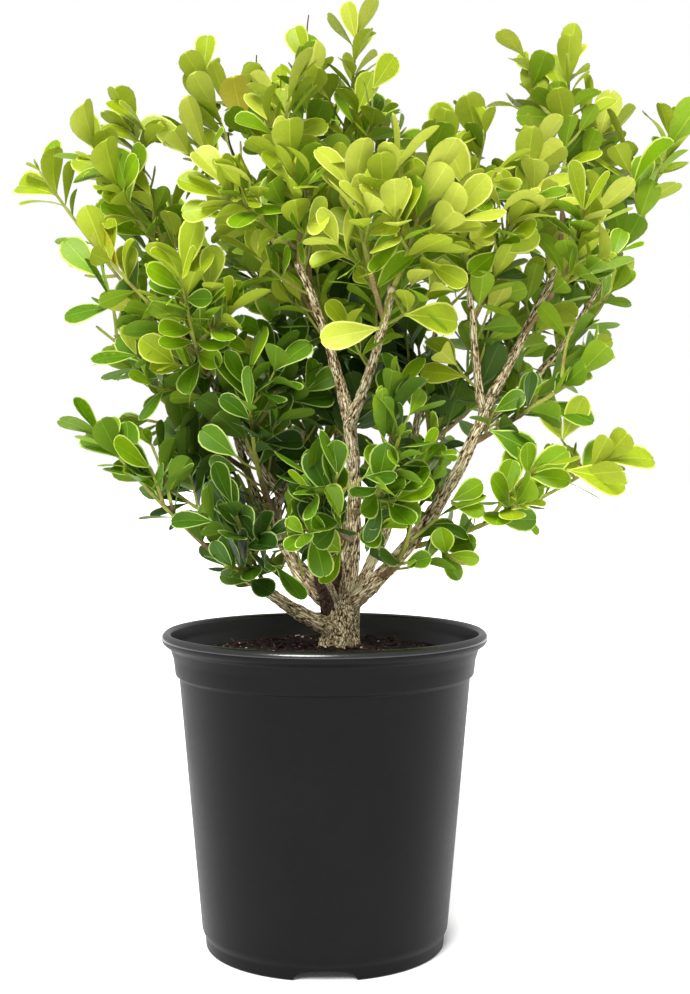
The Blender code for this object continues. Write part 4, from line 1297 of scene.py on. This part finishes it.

# Finer growth: twiglets from stems and from bare wood, shorter and with shorter leaves than the leaders.
TWIGLET_STEP = 12.5
TWIGLET_LENGTHS = (11.0, 25.0)
TWIGLET_RADII = (0.85, 0.6)
TWIGLET_ANGLE = math.radians(40)
TWIGLETS_END = 0.64
TWIGLET_TRIES = 5
TWIGLET_PAST_FORK = 0.45
TWIGLET_LEAFY_SHARE = 0.7
SHOOT_STEP = 12.0
SHOOT_LENGTHS = (16.0, 34.0)
LOWEST_SHOOT = 196.0
LOW_SHOOTS = {"bough_left": 182.0, "bough_low_left": 176.0, "bough_right": 188.0}
BARE_FRONT = (225.0, 318.0)
UNBRANCHED = ("spray_low_right", "spray_far_right", "spray_far_left")
FINE_SEED = 23


def add_twiglet(name, owner, start, along, reach, turn, angle, space, found):
    """Adds a short twig that curves upwards, unless it leaves the crown or touches something."""
    out = Matrix.Rotation(turn, 3, along) @ along.orthogonal().normalized()
    heading = (along * math.cos(angle) + out * math.sin(angle) + Vector((0, 0, 0.15))).normalized()
    tip = start + heading * reach
    if not within_reach(tip + heading * 10) or tip.z < LOWEST_LEAF + 12:
        return False
    route = bent_route(start, tip, (out - Vector((0, 0, 0.4))) * reach * 0.10, SIDE_RINGS)
    beyond_fork = [route[0].lerp(route[1], TWIGLET_PAST_FORK)] + route[1:]
    if space.touched(*tube(beyond_fork, [TWIGLET_RADII[0]] * SIDE_RINGS, TWIG_SIDES)):
        return False
    found.append((name, (route, tapered(*TWIGLET_RADII, SIDE_RINGS), TWIGLET_LEAFY_SHARE)))
    space.add(owner, *tube(beyond_fork, [TWIGLET_RADII[0]] * SIDE_RINGS, TWIG_SIDES))
    return True


def grow_twiglets(stems, limbs, space, rng):
    """Twiglets up every stem and, on boughs, up the old wood that is in the crown."""
    found = []
    for number, (name, stems_here) in enumerate(stems.items()):
        for route, _, _ in () if name in UNBRANCHED else stems_here:
            length = route_length(route)
            place = TWIGLET_STEP * rng.uniform(0.6, 1.2)
            while place < length * 0.84:
                start, along = point_on(route, place / length)
                reach = rng.uniform(*TWIGLET_LENGTHS)
                for attempt in range(TWIGLET_TRIES if reach_at(start) < TWIGLETS_END else 0):
                    turn = GOLDEN_ANGLE * (number + attempt) + place + rng.uniform(-0.4, 0.4)
                    if add_twiglet(name, name, start, along, reach, turn, TWIGLET_ANGLE, space, found):
                        break
                place += TWIGLET_STEP * rng.uniform(0.8, 1.2)
    nearest = {row[0]: row[1] for row in SPRAYS}
    for number, row in enumerate(LIMBS):
        limb = row[0]
        bearing = [spray for spray, parent in nearest.items() if parent == limb]
        if not bearing:
            continue
        route = limbs[limb][0]
        length = route_length(route)
        place = SHOOT_STEP
        while place < length * 0.97:
            start, along = point_on(route, place / length)
            reach = rng.uniform(*SHOOT_LENGTHS)
            for attempt in range(TWIGLET_TRIES):
                turn = GOLDEN_ANGLE * (number + attempt) + place + rng.uniform(-0.4, 0.4)
                out = Matrix.Rotation(turn, 3, along) @ along.orthogonal().normalized()
                shows = start.y < 20 and BARE_FRONT[0] < start.z < BARE_FRONT[1] and out.y < -0.45
                if start.z < LOW_SHOOTS.get(limb, LOWEST_SHOOT) or shows:
                    continue
                if add_twiglet(bearing[-1], limb, start, along, reach, turn, TWIGLET_ANGLE, space, found):
                    break
            place += SHOOT_STEP * rng.uniform(0.8, 1.2)
    return found


fine = random.Random(FINE_SEED)
twiglets = grow_twiglets(stems, limbs, space, fine)

# Every twig is drawn in close rings, woody below and green above.
TWIG_STEP = 3.0
TWIG_COLUMNS = 8
TWIG_SHARP = 50
TWIG_ANGLES = (1.14, 0.90)
NODE_SWELL = 0.22
NODE_STEP = 11.0
WOODY_SHARE_MAIN = 0.42
WOODY_SHARE_SIDE = 0.16
GREEN_TONE = 4.9
GREENER = 0.2
DRAWN_SHARE = 0.82
NODE_WIDTH = 1.6
TIP_TAPER = 0.7
CLOSE_POINTS = 40


def finer(route, count):
    """The same bend, drawn with more points."""
    t = 1 / (len(route) - 1)
    start, tip = route[0], route[-1]
    control = (route[1] - start * (1 - t) ** 2 - tip * t**2) / (2 * t * (1 - t))
    return bent_route(start, tip, control - (start + tip) / 2, count)


def twig_tube(route, radii, from_share, to_share):
    """A stretch of four-angled twig, swollen at its nodes and closed at both ends."""
    length = route_length(route)
    count = max(3, int(length * (to_share - from_share) / TWIG_STEP) + 2)
    close = finer(route, CLOSE_POINTS)
    drawn_route, drawn_radii = [], []
    for i in range(count):
        share = from_share + (to_share - from_share) * i / (count - 1)
        drawn_route.append(point_on(close, share)[0])
        off = math.remainder(length - TIP_SETBACK - share * length, NODE_STEP)
        radius = (radii[0] + (radii[-1] - radii[0]) * share) * DRAWN_SHARE
        drawn_radii.append(radius * (1 + NODE_SWELL * math.exp(-((off / NODE_WIDTH) ** 2))))
    drawn_radii[-1] *= TIP_TAPER
    points, faces = tube(drawn_route, drawn_radii, TWIG_COLUMNS)
    for i, point in enumerate(points):
        centre = drawn_route[i // TWIG_COLUMNS]
        points[i] = centre + (point - centre) * TWIG_ANGLES[i % 2]
    return points, faces


def twig_material(name, light, dark, streak):
    """The skin of a twig, dark to light in patches, with flecks of another colour."""
    material, tree, shader = new_material(name, roughness=0.6, Specular_IOR_Level=0.4)
    skin = mottled(tree, patch=190.0, grain=1100.0, share=0.5)
    lit = blended(tree, skin, dark, light)
    patches = mottled(tree, patch=120.0, grain=700.0, share=0.35)
    coloured = blended(tree, spread(tree, patches, 0.6, 0.9), lit, streak)
    tree.links.new(coloured, shader.inputs["Base Color"])
    raised(tree, shader, skin, 0.00025)
    return material


woody_parts, green_parts = [], []
for name in stems:
    for stem, (route, radii, _) in enumerate(stems[name]):
        woody = WOODY_SHARE_MAIN if stem == 0 else WOODY_SHARE_SIDE
        if SPRAY_TONES[name] > GREEN_TONE or name in UNBRANCHED:
            woody *= GREENER
        woody_parts.append(twig_tube(route, radii, 0.0, woody))
        green_parts.append(twig_tube(route, radii, woody - 0.01, 1.0))
for _, (route, radii, _) in twiglets:
    green_parts.append(twig_tube(route, radii, 0.0, 1.0))
for route, radii in stalks:
    green_parts.append(twig_tube(route, radii, 0.0, 1.0))
woody_finish = twig_material("brown_twig_bark", paint(160, 134, 84), paint(92, 70, 40), paint(128, 124, 70))
green_finish = twig_material("green_twig_skin", paint(164, 168, 66), paint(116, 128, 44), paint(140, 118, 60))
spray_names = [row[0] for row in SPRAYS]
for name, slot, parts, finish in (
    ("woody_twigs", "bark", woody_parts, woody_finish),
    ("green_twigs", "foliage", green_parts, green_finish),
):
    twigs = piece_from(name, *joined(parts), [finish])
    smooth(twigs, TWIG_SHARP)
    stands_for(twigs, slot, *spray_names)


# ---------------------------------------------------------------- dead twigs
# A few thin twigs in the upper part of the shrub that have died back to bare dark sticks.

DEAD_TWIGS = (
    # spray it stands in, a place it starts near, its tip as measured from there, and radii
    ("spray_centre_back", (43, -34, 366), (3.5, -2, 25), (0.8, 0.35)),
    ("spray_upper_middle", (-9, 0, 452), (1, -1, 17), (0.6, 0.3)),
    ("spray_upper_middle", (-34, 20, 434), (-1, -1, 20), (0.6, 0.3)),
    ("spray_upper_left", (-34, -20, 402), (-13, -4, 4), (0.6, 0.3)),
)
DEAD_TWIG_RINGS = 12
DEAD_TWIG_BOW = Vector((-1.5, 0, 1.5))

dead_parts = []
for name, wanted, rise, radii in DEAD_TWIGS:
    close_routes = [finer(route, CLOSE_POINTS) for route, _, _ in stems[name]]
    places = [point_on(close, share / 20)[0] for close in close_routes for share in range(2, 20)]
    start = min(places, key=lambda place: (place - Vector(wanted)).length)
    route = bent_route(start, Vector(wanted) + Vector(rise), DEAD_TWIG_BOW, DEAD_TWIG_RINGS)
    dead_parts.append(tube(route, tapered(*radii, DEAD_TWIG_RINGS), TWIG_COLUMNS))
dead_finish = twig_material("dead_twig_skin", paint(84, 70, 48), paint(40, 32, 22), paint(110, 96, 70))
dead_twigs = piece_from("dead_twigs", *joined(dead_parts), [dead_finish])
smooth(dead_twigs, TWIG_SHARP)
stands_for(dead_twigs, "dead_wood", *dict.fromkeys(row[0] for row in DEAD_TWIGS))




# ---------------------------------------------------------------- leaves
# Opposite pairs of small leathery leaves, spoon-shaped and often notched at the tip, each on a short
# stalk. The upper face is glossy, with a pale midrib and a thin pale margin, and the underside is dull.
# Shoot tips are lime, and leaves darken towards the heart of the shrub, most of all low down, partly with age
# and partly as painted shade.

PAIR_GAP = 12.0
PAIR_LENGTHS = (18.5, 26.0)
TWIGLET_PAIR_STEP = 7.5
TWIGLET_LEAF_LENGTHS = (15.5, 24.0)
BUD_LENGTHS = (6.5, 10.0)
BUD_SHARE = 0.55
SMALLER_TRIES = (1.0, 0.82, 0.66)
CLOSE_MARGIN = -0.3
CLOSE_LENGTH = 0.92
# Painted shade: how much a leaf's tint is darkened deep in the crown and low down, besides age.
HEART_SHADE = 1.5
TIP_GLOW = 1.9
OLDEST_TONE = 0.80
TONE_SPREAD = 0.5
FRONT_VIEW = Vector((0, -775, 256))
BARE_LENGTHS = {
    "bough_centre": (0.20, 1.0),
    "bough_right": (0.20, 1.0),
    "bough_left": (0.45, 1.0),
    "bough_low_left": (0.0, 0.45),
    "bough_centre_left": (0.0, 0.80),
    "bough_centre_right": (0.0, 0.60),
    "bough_right_outer": (0.0, 0.75),
    "bough_right_inner": (0.0, 0.80),
    "bough_far_right": (0.35, 0.80),
    "bough_left_outer": (0.0, 0.55),
    "cut_stub": (0.15, 1.0),
}
# Places where the sky shows between the shoots, as seen from the front: across, up, radius. Most of
# these circles were fitted by a program and rounded, not chosen by hand.
OPEN_PLACES = (
    (123, 224, 10), (-100, 279, 8), (-109, 277, 8), (42, 436, 10), (-28, 457, 10), (-71, 465, 10),
    (-157, 403, 10), (-134, 338, 10), (-112, 312, 6.5), (86, 441, 10), (-46, 406, 6.5), (89, 204, 10),
    (-80, 429, 8), (-138, 421, 10), (-2, 469, 6.5), (-126, 307, 6.5), (70, 450, 10), (-85, 399, 6.5),
    (142, 283, 10), (-84, 269, 5), (-96, 227, 6.5), (-134, 368, 6.5), (107, 462, 10), (159, 352, 5),
    (50, 181, 10), (-88, 248, 4), (-38, 399, 4), (-43, 248, 6), (-39, 239, 6), (111, 257, 3), (85, 240, 6),
    (-46, 434, 4), (45, 419, 4), (70, 300, 5), (90, 369, 4), (-16, 476, 10), (-69, 192, 10),
    (-82, 206, 10), (85, 210, 6.5), (-21, 450, 5), (-123, 240, 10), (-123, 336, 5), (166, 352, 10),
    (34, 461, 10), (86, 409, 4), (-107, 343, 4), (-127, 407, 4), (141, 451, 10), (156, 411, 4),
    (-35, 394, 4), (-83, 393, 5), (40, 181, 10), (-49, 405, 5), (-88, 425, 4), (-121, 282, 8),
    (-87, 251, 4), (36, 433, 6.5), (4.5, 457, 5), (-118, 334, 4), (-108, 318, 4), (-48, 419, 3),
    (51, 402, 3), (-122, 386, 3), (-33, 230, 5), (89, 420, 3), (94, 406, 3), (-80, 386, 3),
    (-116, 381, 3), (141, 354, 3), (82, 398, 3), (-14, 195, 3), (122, 278, 3), (101, 264, 3),
    (-40, 237, 3), (33, 204, 3), (83, 228, 3), (-71, 227, 3), (161, 406, 3), (51, 266, 4),
    (54, 284, 2.5), (17, 296, 3), (27, 258, 3.5), (64, 261, 3.5), (75, 288, 3), (44, 267, 4),
)  # fmt: skip
BLADE_SAMPLES = (
    (0.25, 0.0), (0.4, 0.15), (0.4, -0.15), (0.6, 0.25), (0.6, -0.25), (0.6, 0.0), (0.8, 0.25), (0.8, -0.25),
    (0.94, 0.15), (0.94, -0.15), (1.0, 0.0),
)  # fmt: skip
WOOD_MARGIN = 1.2
CLEARED_SHARE = 0.9
LEAF_TURNS = (0.0, 0.7, -0.7, 1.4)
LONE_SHARE = 0.8
LARGE_LEAVED = {"spray_far_right": 1.08, "spray_far_left": 1.08}
BUD_SPREAD = math.radians(9)


def seen_from_front(place):
    """A place as seen by someone in front of the shrub: across and up, and how far back it stands."""
    back = place.y - FRONT_VIEW.y
    scale = -FRONT_VIEW.y / back
    across = FRONT_VIEW.x + (place.x - FRONT_VIEW.x) * scale
    return Vector((across, FRONT_VIEW.z + (place.z - FRONT_VIEW.z) * scale, 0)), back


bare_places = []
for name, (low, high) in BARE_LENGTHS.items():
    bare_route, bare_radii = drawn[name]
    for i in range(int(low * len(bare_route)), int(high * len(bare_route))):
        bare_places.append((*seen_from_front(bare_route[i]), bare_radii[i] + WOOD_MARGIN))
bare_finder = kdtree.KDTree(len(bare_places))
for i, (place, _, _) in enumerate(bare_places):
    bare_finder.insert(place, i)
bare_finder.balance()
widest_bare = max(radius for _, _, radius in bare_places)


def is_clear(root, along, across, length, strict=True):
    """Whether a leaf leaves the open places of the crown clear and, if strict, the bare boughs too."""
    for far, wide in BLADE_SAMPLES:
        seen, back = seen_from_front(root + along * (length * far) + across * (length * wide))
        if any((seen.x - x) ** 2 + (seen.y - y) ** 2 < radius * radius for x, y, radius in OPEN_PLACES):
            return False
        for _, i, off in bare_finder.find_range(seen, widest_bare) if strict else ():
            if bare_places[i][1] > back and off < bare_places[i][2]:
                return False
    return True


def grow_pairs(owner, route, places, lengths, spread_from, space, rng, found):
    """Pairs of leaves at places up a stem, each as long as it can be without touching another."""
    length = route_length(route)
    twist = rng.uniform(0, math.pi)
    close = finer(route, CLOSE_POINTS)
    for order, place in enumerate(places):
        root, along = point_on(close, min(1.0, place / length))
        across = along.orthogonal().normalized()
        spread = min(spread_from + order * math.radians(12), LOWER_SPREAD)
        for half in (0, 1):
            turn = twist + order * math.pi / 2 + half * math.pi + rng.uniform(-0.3, 0.3)
            tilt = spread + rng.uniform(-0.15, 0.15)
            full = rng.uniform(*lengths)
            strict = rng.random() < CLEARED_SHARE
            for more, share in ((more, share) for share in SMALLER_TRIES for more in LEAF_TURNS):
                out = Matrix.Rotation(turn + more, 3, along) @ across
                frame_here = leaf_frame(along, out, tilt, rng)
                size = full * share
                blade = leaf_solid(root, frame_here, size * CLOSE_LENGTH, CLOSE_MARGIN, LEAF_FOOT)
                if min(p.z for p in blade[0]) < LOWEST_LEAF or not within_reach(blade[0][2]):
                    continue
                if not is_clear(root, frame_here[0], frame_here[1], size, strict):
                    continue
                if not space.touched(*blade):
                    space.add(owner, *blade)
                    found.append((owner, place / length, root, frame_here, size))
                    break


def in_between(length, leafy_share):
    """Places on a stem between the source's pairs, so that no two stand further apart than the gap."""
    places = leaf_nodes(length, leafy_share) + [length * 0.1]
    between = []
    for above, below in zip(places, places[1:]):
        count = int((above - below) / PAIR_GAP + 0.4)
        between += [above + (below - above) * (i + 1) / (count + 1) for i in range(count)]
    return between


# Where each leaf stands: (spray, share of the way up its stem, root, directions, length).
hung = []
for name, stem, share, frame_here, length in leaves:
    root, along = point_on(finer(stems[name][stem][0], CLOSE_POINTS), share)
    for turn in LEAF_TURNS:
        turned_frame = tuple(Matrix.Rotation(turn, 3, along) @ direction for direction in frame_here)
        if is_clear(root, turned_frame[0], turned_frame[1], length):
            hung.append((name, share, root, turned_frame, length * LARGE_LEAVED.get(name, 1.0)))
            break
hung += [(name, LONE_SHARE, root, frame_here, length) for name, root, frame_here, length in lone_leaves]
for name, (route, _, leafy_share) in twiglets:
    length = route_length(route)
    count = max(2, int(length * leafy_share / TWIGLET_PAIR_STEP) + 1)
    places = [length - 1.0 - i * TWIGLET_PAIR_STEP for i in range(count)]
    grow_pairs(name, route, places, TWIGLET_LEAF_LENGTHS, TIP_SPREAD * 1.4, space, fine, hung)
for name in stems:
    for route, _, leafy_share in stems[name]:
        length = route_length(route)
        places = in_between(length, leafy_share)
        grow_pairs(name, route, places, PAIR_LENGTHS, LOWER_SPREAD * 0.7, space, fine, hung)
        if fine.random() < BUD_SHARE:
            grow_pairs(name, route, [length - 0.5], BUD_LENGTHS, BUD_SPREAD, space, fine, hung)

# Tints, from the darkest leaves, old or in painted shade, to the youngest: blade, margin, midrib, underside.
TINTS = (
    ("shade", paint(36, 60, 10), paint(132, 154, 88), paint(70, 100, 36), paint(56, 82, 24)),
    ("deep", paint(54, 88, 8), paint(156, 182, 96), paint(92, 126, 36), paint(76, 106, 24)),
    ("green", paint(78, 116, 8), paint(172, 196, 92), paint(120, 152, 36), paint(96, 128, 26)),
    ("bright", paint(110, 146, 10), paint(188, 206, 88), paint(148, 174, 44), paint(122, 152, 30)),
    ("young", paint(144, 164, 24), paint(200, 208, 88), paint(178, 190, 58), paint(152, 168, 42)),
    ("lime", paint(172, 184, 54), paint(212, 216, 108), paint(196, 204, 84), paint(178, 188, 68)),
    ("yellowed", paint(196, 178, 26), paint(220, 208, 90), paint(212, 198, 70), paint(190, 180, 60)),
)
YELLOWED_SPOTS = (Vector((-40, -20, 423)), Vector((-106, -34, 346)), Vector((44, -60, 366)))

# Half widths of a leaf by share of its length, in leaf lengths, and the ways that leaves bend.
LEAF_STATIONS = (
    (0.00, 0.024),
    (0.08, 0.034),
    (0.22, 0.106),
    (0.40, 0.194),
    (0.58, 0.250),
    (0.74, 0.264),
    (0.87, 0.226),
    (0.96, 0.138),
    (1.00, 0.046),
)
LEAF_COLUMNS = 8
LEAF_PARTS = [1, 0, 2, 0, 1, 3, 2, 3]
LEAF_MARGIN = 0.032
RIB_WIDTH = (0.020, 0.008)
RIB_DIP = 0.006
LEAF_BODY = 0.014
LEAF_SHAPES = (
    # fold along the midrib, bend down to the tip, arch across, twist, notch at the tip
    (0.10, 0.15, 0.00, 0.00, 0.012),
    (0.34, 0.25, 0.00, 0.10, 0.000),
    (0.14, 0.70, 0.05, 0.00, 0.020),
    (0.00, 0.35, 0.16, -0.12, 0.034),
    (0.22, -0.25, 0.00, 0.35, 0.000),
    (0.06, 0.45, 0.10, -0.30, 0.040),
    (0.18, 0.05, 0.00, 0.00, 0.000),
    (0.48, 0.50, 0.00, 0.16, 0.026),
)


def leaf_shape(number, fold, bend, arch, twist, notch):
    """A leaf one unit long, growing along +Y and facing +Z: a thin closed blade of margin strips, half
    blades and a sunk midrib, over an underside that has its rib too."""
    points, uvs = [], []
    for share, half in LEAF_STATIONS:
        rib = (RIB_WIDTH[0] + (RIB_WIDTH[1] - RIB_WIDTH[0]) * share) / 2
        rib = min(rib, half * 0.4)
        inner = max(half - LEAF_MARGIN, half * 0.55)
        strip = [-half, -inner, -rib, rib, inner, half, rib * 1.4, -rib * 1.4]
        body = LEAF_BODY * (0.5 if share in (0.0, 1.0) else 1.0)
        for column, across in enumerate(strip):
            rise = fold * abs(across) - arch * across * across / 0.29
            if column in (2, 3):
                rise -= RIB_DIP if 0.1 < share < 0.95 else 0.0
            if column in (6, 7):
                rise -= body
            along = share - notch * max(0.0, (share - 0.8) / 0.2) * max(0.0, 1 - abs(across) / 0.05)
            turned_across = across * math.cos(twist * share) - rise * math.sin(twist * share)
            turned_rise = across * math.sin(twist * share) + rise * math.cos(twist * share)
            angle = bend * along
            reach = math.sin(angle) / bend
            drop = (1 - math.cos(angle)) / bend
            lift = turned_rise * math.cos(angle)
            points.append(Vector((turned_across, reach + turned_rise * math.sin(angle), lift - drop)))
            uvs.append((0.5 + across / 0.6, share))
    faces = tube_faces(len(LEAF_STATIONS), LEAF_COLUMNS)
    numbers = LEAF_PARTS * (len(LEAF_STATIONS) - 1) + [1, 1]
    made = piece_from(f"leaf_{number}", [point / MM for point in points], faces)
    part_numbers(made, numbers)
    layer = made.data.uv_layers.new(name="UVMap")
    for loop in made.data.loops:
        layer.data[loop.index].uv = uvs[loop.vertex_index]
    made.data.shade_smooth()
    rim = {(0, 0), (5, 5)}  # both ends of such an edge lie in one outer column
    sharp = made.data.attributes.new("sharp_edge", "BOOLEAN", "EDGE")
    for edge in made.data.edges:
        ends = tuple(vertex % LEAF_COLUMNS for vertex in edge.vertices)
        sharp.data[edge.index].value = ends in rim
    return made


def leaf_material(name, colour, roughness, gloss, thin):
    """A leaf's cuticle or its dull underside, faintly mottled, with light passing through the blade."""
    material, tree, shader = new_material(name, roughness=roughness, Specular_IOR_Level=gloss)
    shader.inputs["Subsurface Weight"].default_value = thin
    shader.inputs["Subsurface Radius"].default_value = (0.0012, 0.0018, 0.0005)
    shader.inputs["Subsurface Scale"].default_value = 1.0
    patches = mottled(tree, patch=75.0, grain=650.0, share=0.35)
    light = tuple(min(1.0, part * 1.13) for part in colour[:3]) + (1.0,)
    dark = tuple(part * 0.86 for part in colour[:3]) + (1.0,)
    tree.links.new(blended(tree, patches, dark, light), shader.inputs["Base Color"])
    raised(tree, shader, patches, 0.00012)
    return material


def tone_of(owner, share, root):
    """How light a leaf's tint is, as a place in the list of tints: lighter towards its shoot tip, darker deep
    in the crown and low down, partly for age and partly as painted shade.
    """
    # Depth in the crown, more so lower down, darkens the tint, partly for age and partly as painted shade.
    depth = max(0.0, 0.80 - reach_at(root)) * min(1.0, max(0.0, (440 - root.z) / 120))
    base = SPRAY_TONES[owner] if owner in SPRAY_TONES else 1.0
    return base + TIP_GLOW * (share - OLDEST_TONE) - HEART_SHADE * depth + fine.gauss(0, TONE_SPREAD)


yellowed = set()
for spot in YELLOWED_SPOTS:
    yellowed.add(min(range(len(hung)), key=lambda i: (hung[i][2] + hung[i][3][0] * 12 - spot).length))
by_tint = {row[0]: [] for row in TINTS}
youngest = len(TINTS) - 2
for i, (owner, share, root, (along, across, face), length) in enumerate(hung):
    tone = max(0, min(youngest, round(tone_of(owner, share, root))))
    name = "yellowed" if i in yellowed else TINTS[tone][0]
    turn = Matrix((across, along, face)).transposed().to_euler()
    wide = fine.uniform(0.92, 1.14)
    shape = fine.randrange(len(LEAF_SHAPES))
    by_tint[name].append((root, turn, (length * wide, length, length), shape))

leaf_tree = placing_tree("leaves_on_twigs", ("Blade", "Margin", "Midrib", "Underside"))
leaf_shapes = shape_collection("leaf_shapes", [leaf_shape(i, *row) for i, row in enumerate(LEAF_SHAPES)])
for name, blade, margin, midrib, underside in TINTS:
    finish = {
        "Blade": leaf_material(f"{name}_leaf_blade", blade, 0.42, 0.22, 0.12),
        "Margin": leaf_material(f"{name}_leaf_margin", margin, 0.50, 0.22, 0.10),
        "Midrib": leaf_material(f"{name}_leaf_midrib", midrib, 0.50, 0.22, 0.10),
        "Underside": leaf_material(f"{name}_leaf_underside", underside, 0.62, 0.18, 0.12),
    }
    foliage = placed_on(f"leaves_{name}", leaf_tree, leaf_shapes, MM, finish, by_tint[name])
    stands_for(foliage, "foliage", *spray_names)
remove_shapes(leaf_shapes)


# ---------------------------------------------------------------- studio
# A wide pale floor that runs out of sight and glows faintly, its glow dimmed round the pot's foot as a
# painted shadow, soft light from all round, a broad lamp at the upper left in front, and a camera a little
# above the rim of the pot, looking slightly down.

FLOOR_SIZE = 8.0
CAMERA_PLACE = (-0.0004, -0.7746, 0.2562)
CAMERA_DOWN = math.radians(2.13)
CAMERA_RIGHT = math.radians(0.785)
CAMERA_LENS = 55.33
ROOM_LIGHT = 0.55
LAMP_POWER = 4.25
TABLE_LIGHT = 0.55
# Painted shadow: from and to what distance of the pot's axis the floor's glow is dimmed round its foot.
FOOT_SHADE = (52.0, 84.0)
LAMP_SOFTNESS = math.radians(30)
LAMP_FROM = Vector((-0.35, -1.00, 1.05))

floor_mesh = bpy.data.meshes.new("floor")
corners = [(x * FLOOR_SIZE, y * FLOOR_SIZE, -0.0002) for x, y in ((-1, -1), (1, -1), (1, 1), (-1, 1))]
floor_mesh.from_pydata(corners, [], [(0, 1, 2, 3)])
floor = bpy.data.objects.new("floor", floor_mesh)
bpy.context.scene.collection.objects.link(floor)
pale, tree, shader = new_material("pale_floor", roughness=0.7, Specular_IOR_Level=0.1)
scuffs = mottled(tree, patch=0.8, grain=30.0, share=0.2)
scuffed = blended(tree, scuffs, paint(247, 247, 247), paint(250, 250, 250))
tree.links.new(scuffed, shader.inputs["Base Color"])
place = node(tree, "ShaderNodeTexCoord").outputs["Object"]
# Painted shadow: the glow is dimmed to grey round the pot's foot, as a contact shadow.
off = node(tree, "ShaderNodeVectorMath", {0: place}, operation="LENGTH")
away = {"Value": off.outputs["Value"], "From Min": FOOT_SHADE[0] * MM, "From Max": FOOT_SHADE[1] * MM}
beyond_painted_shadow = node(tree, "ShaderNodeMapRange", away, interpolation_type="SMOOTHSTEP").outputs["Result"]
glow = blended(tree, beyond_painted_shadow, paint(60, 60, 60), (1, 1, 1, 1))
tree.links.new(glow, shader.inputs["Emission Color"])
shader.inputs["Emission Strength"].default_value = TABLE_LIGHT
floor.data.materials.append(pale)

world = bpy.data.worlds.new("studio")
world.use_nodes = True
tree = world.node_tree
tree.nodes.clear()
seen = node(tree, "ShaderNodeBackground", {"Color": (1, 1, 1, 1), "Strength": 1.0})
cast = node(tree, "ShaderNodeBackground", {"Color": (1, 1, 1, 1), "Strength": ROOM_LIGHT})
rays = node(tree, "ShaderNodeLightPath")
shown = {0: rays.outputs["Is Camera Ray"], 1: cast.outputs[0], 2: seen.outputs[0]}
either = node(tree, "ShaderNodeMixShader", shown)
node(tree, "ShaderNodeOutputWorld", {"Surface": either.outputs[0]})
bpy.context.scene.world = world

lamp = bpy.data.lights.new("broad_lamp", "SUN")
lamp.energy = LAMP_POWER
lamp.angle = LAMP_SOFTNESS
lamp_object = bpy.data.objects.new("broad_lamp", lamp)
lamp_object.rotation_euler = LAMP_FROM.to_track_quat("Z", "Y").to_euler()
bpy.context.scene.collection.objects.link(lamp_object)

camera = bpy.data.cameras.new("camera")
camera.lens = CAMERA_LENS
camera.sensor_width = 36.0
camera.clip_start = 0.01
camera_object = bpy.data.objects.new("camera", camera)
camera_object.location = CAMERA_PLACE
camera_object.rotation_euler = (math.pi / 2 - CAMERA_DOWN, 0.0, -CAMERA_RIGHT)
bpy.context.scene.collection.objects.link(camera_object)
bpy.context.scene.camera = camera_object
bpy.context.scene.view_settings.view_transform = "Standard"
